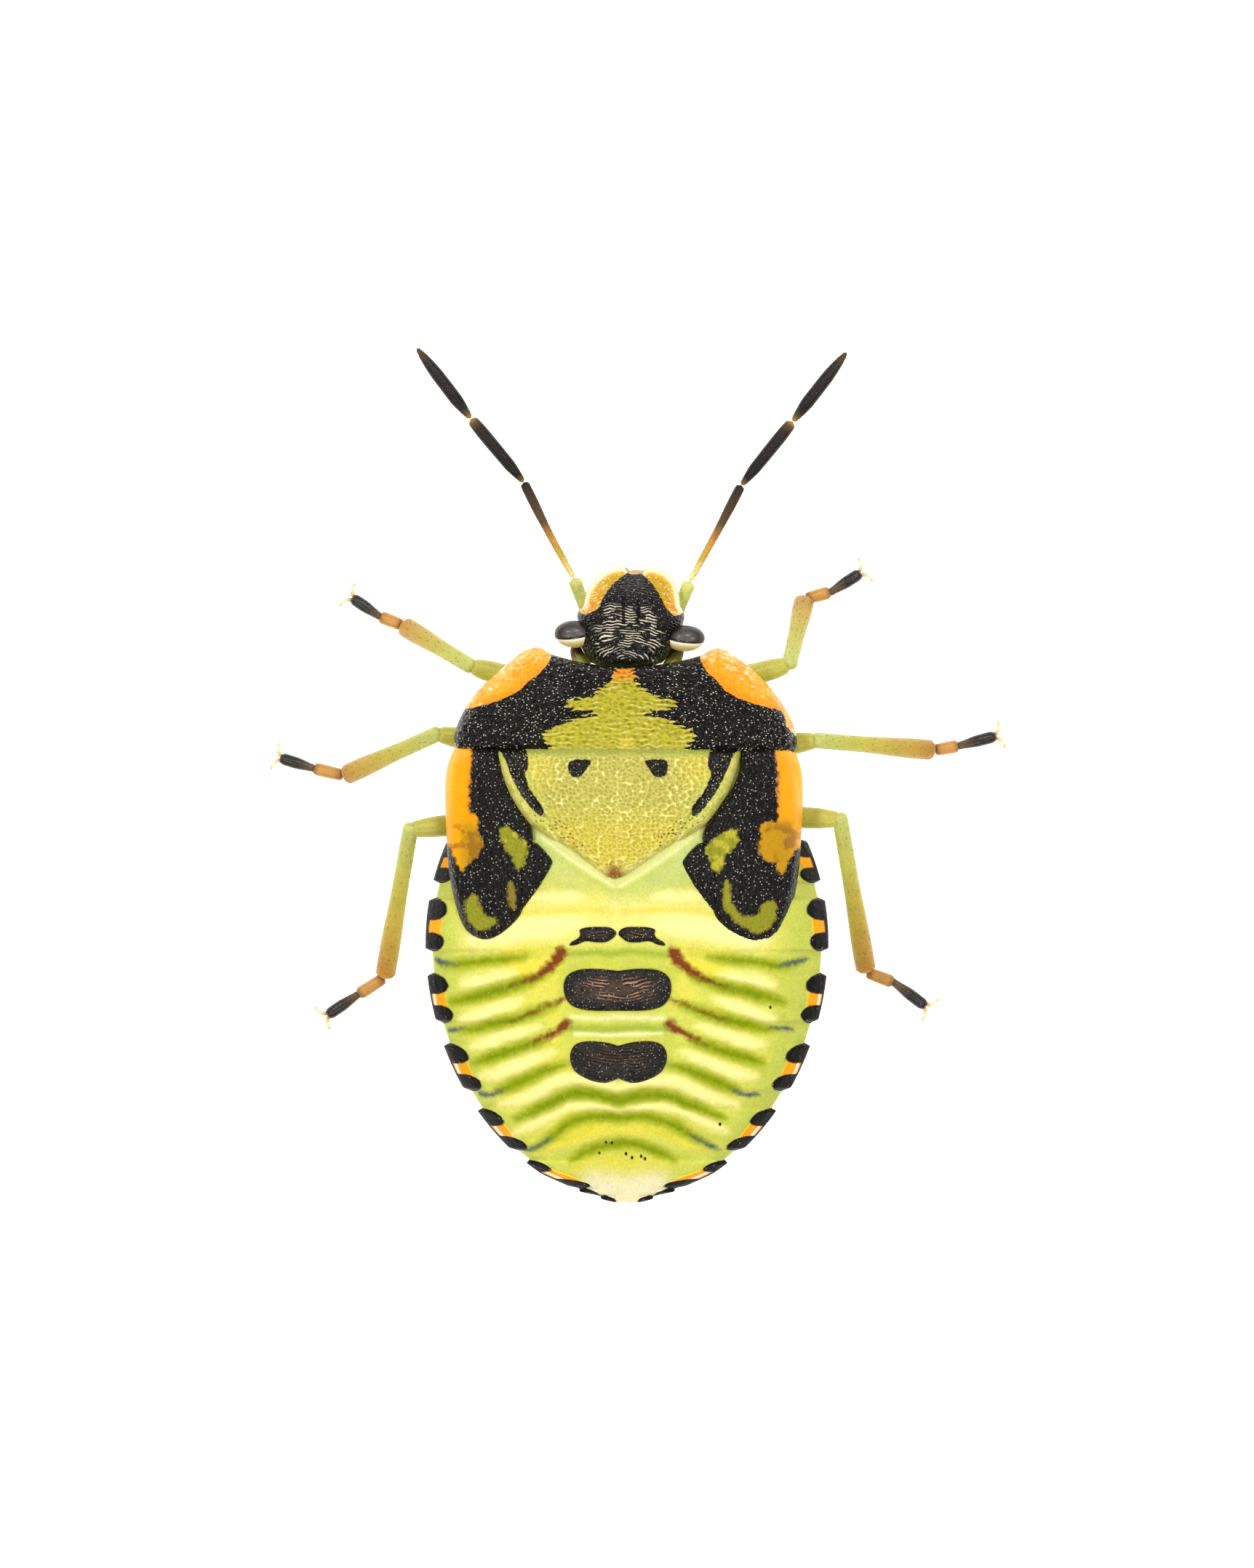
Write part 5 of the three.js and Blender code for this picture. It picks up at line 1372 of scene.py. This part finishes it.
feelerLook = {"grain": 0.3, "rough": 0.4, "gloss": 0.2, "flesh": 0.08, "depth": 0.06}
limbLook = {"grain": 0.2, "rough": 0.35, "gloss": 0.4, "bump": 0.008, "flesh": 0.3, "depth": 0.15}
feelerMaterial, limbMaterial = shellMaterial("feeler", feelerLook), shellMaterial("limb", limbLook)
footMaterial = shellMaterial("foot", limbLook)
hairMaterial = makeHairMaterial()

feelers = {
    "left": [(0.72, -3.05, 1.95), (1.07, -3.97, 2.02), (2.06, -5.86, 2.75), (3.11, -7.12, 3.05),
             (4.19, -8.53, 2.92)],
    "right": [(-0.9, -3.0, 1.95), (-1.26, -3.9, 2.02), (-2.28, -5.8, 2.75), (-3.3, -7.06, 3.05),
              (-4.38, -8.45, 2.92)],
    "widths": [[(0, 0.09), (0.15, 0.12), (0.8, 0.13), (0.93, 0.135), (1, 0.1)],
               [(0, 0.05), (0.06, 0.062), (0.5, 0.078), (0.85, 0.1), (0.97, 0.095), (1, 0.06)],
               [(0, 0.045), (0.08, 0.075), (0.3, 0.12), (0.75, 0.128), (0.95, 0.11), (1, 0.06)],
               [(0, 0.045), (0.08, 0.08), (0.3, 0.13), (0.6, 0.128), (0.85, 0.09), (0.97, 0.045),
                (1, 0.03)]],
    "tones": [[(0, "leafPale"), (0.8, "leafPale"), (1, "straw")],
              [(0, "straw"), (0.05, "honeyPale"), (0.25, "ochreLimb"), (0.42, "tan"), (0.6, "bark"),
               (1, "soot")],
              [(0, "tan"), (0.05, "bark"), (0.12, "black"), (0.85, "soot"), (0.95, "bark"), (1, "tan")],
              [(0, "tan"), (0.06, "bark"), (0.14, "black"), (0.8, "soot"), (1, "bark")]],
    "bow": (0.02, 0.01, 0.03), "hairs": 90, "hairShape": (0.055, 0.55)}
for word, sign in (("left", 1), ("right", -1)):
    hairs = []
    for k in range(4):
        a, b = np.array(feelers[word][k]), np.array(feelers[word][k + 1])
        bow = np.array(feelers["bow"]) * sign * (k == 1)
        number = "%s_%d" % (word, k + 1)
        finish = (feelerMaterial, "feeler" if k else "limb")
        path, r = limbPiece("feeler_" + number, [a, (a + b) / 2 + bow, b], feelers["widths"][k],
                            feelers["tones"][k], finish, "antenna_" + number, seed=140 + k)
        if k:
            hairs.append(hairGrids(path, r, feelers["hairs"] * (k + 1), *feelers["hairShape"], 150 + k))
    finishPiece(hairObject("feelerHairs_" + word, hairs), hairMaterial, "feeler")

# Each leg's hip, knee, ankle, middle of the foot and toe
legs = {
    "fore_left": [(0.95, -1.6, 1.3), (3.13, -2.2, 1.95), (4.51, -3.03, 0.3), (4.99, -3.22, 0.2),
                  (5.55, -3.6, 0.14)],
    "mid_left": [(1.05, -0.35, 1.3), (3.8, -0.84, 2.1), (5.69, -0.01, 0.3), (6.33, -0.16, 0.2),
                 (7.0, -0.37, 0.14)],
    "hind_left": [(1.05, 0.7, 1.3), (4.33, 1.07, 2.3), (4.88, 4.06, 0.3), (5.43, 4.41, 0.2),
                  (6.05, 4.83, 0.14)],
    "fore_right": [(-0.95, -1.6, 1.3), (-3.25, -2.23, 1.95), (-3.58, -3.57, 0.3), (-4.11, -3.71, 0.2),
                   (-4.72, -4.1, 0.14)],
    "mid_right": [(-1.05, -0.35, 1.3), (-3.8, -0.71, 2.1), (-6.18, -0.52, 0.3), (-6.69, -0.61, 0.2),
                  (-7.45, -0.81, 0.14)],
    "hind_right": [(-1.05, 0.7, 1.3), (-4.26, 0.87, 2.3), (-4.82, 3.95, 0.3), (-5.38, 4.16, 0.2),
                   (-6.03, 4.65, 0.14)]}
legWidths = {"coxa": [(0, 0.3), (0.5, 0.34), (1, 0.25)],
             "femur": [(0, 0.15), (0.1, 0.2), (0.5, 0.235), (0.85, 0.21), (1, 0.15)],
             "tibia": [(0, 0.14), (0.06, 0.16), (0.4, 0.165), (0.85, 0.205), (0.97, 0.2), (1, 0.14)],
             "heel": [(0, 0.1), (0.2, 0.12), (0.8, 0.13), (1, 0.1)],
             "toe": [(0, 0.07), (0.15, 0.08), (0.6, 0.12), (0.85, 0.12), (1, 0.08)],
             "claw": [(0, 0.045), (0.5, 0.035), (1, 0.014)]}
legTones = {"coxa": [(0, "pale"), (1, "leafPale")], "femur": [(0, "pale"), (0.7, "limb"), (1, "limb")],
            "tibia": [(0, "leafPale"), (0.35, "limb"), (0.7, "ochreLimb"), (0.95, "amberLimb"), (1, "tan")],
            "heel": [(0, "umber"), (0.3, "tan"), (0.75, "tan"), (1, "bark")],
            "toe": [(0, "bark"), (0.15, "bark"), (0.5, "soot"), (1, "soot")],
            "claw": [(0, "tan"), (0.5, "shell"), (1, "tan")]}
claw = [(-0.03, 0.03, 0), (0.09, 0.08, 0.01), (0.13, 0.2, -0.03), (0.11, 0.26, -0.08)]
legBuild = {"coxaRise": [(0, 0, 0.42), (0, 0, 0.2), (0, 0, 0.02)], "coxaOut": 0.1, "femurStart": 0.05,
            "femurArch": (0, 0, 0.05), "tibiaBack": 0.04, "tibiaArch": (0, 0, 0.04), "tibiaFlat": 0.8,
            "toeBack": 0.1, "toeArch": (0, 0, 0.01)}
# Bristles: (count, length, lean, seed, where they start) on a tibia; (part, radius, count, seed) on a foot
legHairs = {"tibia": [(70, 0.09, 0.6, 170, 0.05), (40, 0.11, 0.6, 171, 0.75)],
            "foot": [("heel", 0.1, 40, 172), ("toe", 0.09, 60, 173)], "footLength": 0.06, "footLean": 0.6}


def clawWay(toe, onward, outward):
    # From its root a claw goes on, out and down: the last three points are measured from the root
    (back, aside, _), *rest = claw
    root = toe + outward * aside + onward * back
    return [root] + [root + onward * on + outward * off + (0, 0, up) for on, off, up in rest]


for word, places in legs.items():
    hip, knee, ankle, mid, toe = map(np.array, places)
    outward = (knee - hip) / np.linalg.norm(knee - hip)
    top, middle, low = legBuild["coxaRise"]
    coxa = [hip + top, hip + middle, hip + outward * legBuild["coxaOut"] + low]
    femur = [hip + outward * legBuild["femurStart"], (hip + knee) / 2 + legBuild["femurArch"], knee]
    tibia = [knee - (ankle - knee) * legBuild["tibiaBack"], (knee + ankle) / 2 + legBuild["tibiaArch"],
             ankle]
    for part, way, flat, seed in (("coxa", coxa, 1.0, 160), ("femur", femur, 1.0, 161),
                                  ("tibia", tibia, legBuild["tibiaFlat"], 162)):
        path, r = limbPiece("%s_skin_%s" % (part, word), way, legWidths[part], legTones[part],
                            (limbMaterial, "limb"), "%s_%s" % (part, word), flat, seed)
    hairs = [hairGrids(path, r, *tuft) for tuft in legHairs["tibia"]]
    ways = {"heel": [ankle, (ankle + mid) / 2, mid],
            "toe": [mid - (toe - mid) * legBuild["toeBack"], (mid + toe) / 2 + legBuild["toeArch"], toe]}
    forward = (toe - mid) / np.linalg.norm(toe - mid)
    onward = np.array([forward[0], forward[1], 0]) / np.hypot(forward[0], forward[1])
    across = np.array([-onward[1], onward[0], 0])
    parts = []
    for part, seed in (("heel", 163), ("toe", 164)):
        parts.append((ways[part], legWidths[part], legTones[part], seed))
    for side in (1, -1):
        parts.append((clawWay(toe, onward, across * side), legWidths["claw"], legTones["claw"], 165))
    finishPiece(tubes("foot_" + word, parts), footMaterial, "foot", "tarsus_" + word)
    for part, radius, count, seed in legHairs["foot"]:
        path = limbGrid(ways[part], legWidths[part])[2]
        hairs.append(hairGrids(path, np.full(len(path), radius), count, legHairs["footLength"],
                               legHairs["footLean"], seed))
    finishPiece(hairObject("legHairs_" + word, hairs), hairMaterial, "limb")

beak = [(-0.1, -3.6, 1.98), (-0.06, -3.5, 1.6), (0, -3.2, 1.32), (0, -1.8, 1.24), (0, 0.4, 1.22)]
limbPiece("beak_skin", beak, [(0, 0.2), (0.2, 0.22), (0.7, 0.16), (1, 0.07)],
          [(0, "leafPale"), (0.7, "straw"), (0.9, "bark"), (1, "soot")], (limbMaterial, "limb"), "beak",
          seed=166)

neck = {"widths": [(0, 0.1), (0.5, 0.15), (1, 0.2)],
        "stops": [(0, "bark"), (0.35, "bark"), (0.55, "moss"), (1, "olive")]}
necks = []
for side in (1, -1):
    way = [(side * 1.05 - 0.03, -2.62, 2.35), (side * 1.0, -2.45, 2.4), (side * 0.85, -2.1, 2.45)]
    necks.append((way, neck["widths"], neck["stops"], 167))
finishPiece(tubes("neckSides", necks), limbMaterial, "underside")


print("gland plates")
glands = {"columns": 150, "rows": 110, "high": 0.085, "edge": 0.12, "sunk": 0.04, "deep": 0.12,
          "wrinkleTurns": 95, "wrinkleHigh": 0.01, "rough": 0.02}


def abdomenTop(x, y):
    # Height of the abdomen's back at a point, the ring formula turned round and settled in two steps
    half = abdomenHalfWidth(y)
    above = 1.0
    for _ in range(2):
        c = np.clip((x - midline(y) * above) / half, -1, 1)
        above = (1 - c * c) ** (abdomen["roundTop"] / 2)
    crest = np.minimum(ridge(y) - 0.02, abdomenRim(y) + half * 0.9)
    return abdomenRim(y) + (crest - abdomenRim(y)) * above


def glandPlate(name, outline, centre, bright, sheen):
    # Rings shrink from the outline to the centre; the rise is steep at the edge and flat inside
    line = smoothLine(outline, True, 10)
    ring = line[np.linspace(0, len(line), glands["columns"], endpoint=False).astype(int)]
    v = np.linspace(0, 1, glands["rows"])[:, None]
    x, y = (centre[k] + (ring[None, :, k] - centre[k]) * (1 - v) for k in (0, 1))
    inner = lineDistance(x, y, np.vstack([line, line[:1]]))
    rise = glands["high"] * np.sqrt(1 - (1 - np.clip(inner / glands["edge"], 0, 1)) ** 2)
    bent = y + 0.12 * layered(x * 3, y * 3, 181) + 0.25 * np.abs(x - centre[0]) ** 2
    wrinkle = np.sin(bent * glands["wrinkleTurns"]) * smooth(0.3, 0.6, noise(x * 6, y * 9, 183))
    middle = np.exp(-(((x - centre[0]) / bright[0]) ** 4 + ((y - centre[1]) / bright[1]) ** 4))
    back = abdomenTop(x, y)
    z = back + rise + glands["wrinkleHigh"] * wrinkle * middle + roughSkin(x, y, 12, 185, glands["rough"])
    z = np.where(v == 0, back - glands["sunk"], z)
    # Black with a soot mottle, and copper on the wrinkle crests of the middle as a painted sheen
    paint = laid(plain(x, "black"), ("soot", smooth(0.4, 0.7, layered(x * 8, y * 8, 187))),
                 ("copper", sheen * middle * smooth(-0.2, 0.8, wrinkle)))
    under = np.stack([x[0], y[0], abdomenTop(x[0], y[0]) - glands["deep"]], -1)[None]
    bottom = abdomenTop(*[np.array(c) for c in centre]) - glands["deep"]
    hub = np.zeros_like(under) + np.array([centre[0], centre[1], bottom])
    shape = np.vstack([hub, under, np.stack([x, y, z], -1)])
    return joined(name, [shape], np.vstack([paint[:1], paint[:1], paint]))


def mirrored(points, middle):
    # The mirror of an outline about x = middle, listed backwards
    return [(2 * middle - px, py) for px, py in points[::-1]]


# Its dots are painted glints
glandLook = {"grain": 0.25, "rough": 0.28, "gloss": 0.2, "bump": 0.012, "dotsOn": "all",
             "dots": [(16, (1, 1, 1), 0.2, "glint", 0.6)]}
glandMaterial = shellMaterial("glandPlate", glandLook)

frontGland = [(0.24, 3.06), (0.35, 3.0), (0.55, 2.99), (0.8, 3.0), (0.94, 3.05), (0.93, 3.14), (0.98, 3.22),
              (1.1, 3.29), (1.14, 3.36), (1.0, 3.35), (0.82, 3.28), (0.6, 3.3), (0.4, 3.29), (0.26, 3.2),
              (0.21, 3.13)]
middleGland = [(0.19, 3.86), (0.6, 3.82), (0.95, 3.84), (1.17, 3.94), (1.26, 4.12), (1.24, 4.35),
               (1.12, 4.54), (0.9, 4.63), (0.6, 4.66), (0.19, 4.66)]
hindGland = [(0.17, 5.35), (0.45, 5.28), (0.8, 5.26), (1.03, 5.33), (1.13, 5.5), (1.12, 5.7), (1.02, 5.88),
             (0.8, 6.02), (0.5, 6.1), (0.3, 6.06), (0.17, 6.0)]

# Each plate's outline, its centre, how far its wrinkled middle reaches, and the strength of its sheen
glandPlates = {
    "glandPlate_1_left": (frontGland, (0.6, 3.13), (0.2, 0.07), 0.2),
    "glandPlate_1_right": (mirrored(frontGland, 0.19), (-0.22, 3.13), (0.2, 0.07), 0.2),
    "glandPlate_2": (middleGland + mirrored(middleGland, 0.19), (0.19, 4.22), (0.62, 0.2), 0.9),
    "glandPlate_3": (hindGland + mirrored(hindGland, 0.17), (0.17, 5.66), (0.6, 0.25), 0.1)}
for name, spec in glandPlates.items():
    finishPiece(glandPlate(name, *spec), glandMaterial, "abdomen")


print("stage, light and camera")
view = {"pixel": 0.01451, "height": 2156, "centreY": 0.16, "distance": 250.0, "subjectZ": 2.7,
        "sensor": 36, "clip": 0.01}
camera = bpy.data.objects.new("camera", bpy.data.cameras.new("camera"))
bpy.context.collection.objects.link(camera)
tall = view["height"] * view["pixel"]          # millimetres that the photo's height spans
camera.data.sensor_width = view["sensor"]
camera.data.sensor_fit = "AUTO"
camera.data.lens = view["sensor"] * (view["distance"] - view["subjectZ"]) / tall
camera.data.clip_start = view["clip"]
camera.location = Vector((0, view["centreY"], view["distance"])) * mm
camera.rotation_euler = (0, 0, math.pi)        # the head points up in the picture
bpy.context.scene.camera = camera

ground = {"half": 0.6, "colour": (0.9, 0.9, 0.9, 1), "rough": 0.9, "glow": 0.75, "sky": 0.2}
floorMesh = bpy.data.meshes.new("floor")
corners = [(-1, -1, 0), (1, -1, 0), (1, 1, 0), (-1, 1, 0)]
floorMesh.from_pydata([Vector(c) * ground["half"] for c in corners], [], [(0, 1, 2, 3)])
floor = bpy.data.objects.new("floor", floorMesh)
bpy.context.collection.objects.link(floor)
floorMaterial = bpy.data.materials.new("floor")
floorMaterial.use_nodes = True
floorInputs = floorMaterial.node_tree.nodes["Principled BSDF"].inputs
floorInputs["Base Color"].default_value = ground["colour"]
floorInputs["Roughness"].default_value = ground["rough"]
floorInputs["Specular IOR Level"].default_value = 0.0
floorInputs["Emission Color"].default_value = (1, 1, 1, 1)
floorInputs["Emission Strength"].default_value = ground["glow"]
floorMesh.materials.append(floorMaterial)

world = bpy.data.worlds.new("studio")
world.use_nodes = True
world.node_tree.nodes["Background"].inputs[0].default_value = (1, 1, 1, 1)
world.node_tree.nodes["Background"].inputs[1].default_value = ground["sky"]
bpy.context.scene.world = world
bpy.context.scene.view_settings.view_transform = "Standard"

# Softboxes in a ring round the bug: azimuth and share of the power for each
lights = {"distance": 150, "size": 30, "elevation": 52, "power": 0.062, "aim": (0, 2, 2),
          "ring": [(35, 1.0), (105, 0.8), (180, 1.0), (250, 1.3), (320, 1.3)]}
for number, (azimuth, share) in enumerate(lights["ring"]):
    data = bpy.data.lights.new("softbox_%d" % number, "AREA")
    data.size = lights["size"] * mm
    data.energy = lights["power"] * share
    lamp = bpy.data.objects.new("softbox_%d" % number, data)
    a, e = math.radians(azimuth), math.radians(lights["elevation"])
    away = Vector((math.cos(a) * math.cos(e), math.sin(a) * math.cos(e), math.sin(e)))
    lamp.location = (Vector(lights["aim"]) + away * lights["distance"]) * mm
    lamp.rotation_euler = (-away).to_track_quat("-Z", "Y").to_euler()
    bpy.context.collection.objects.link(lamp)
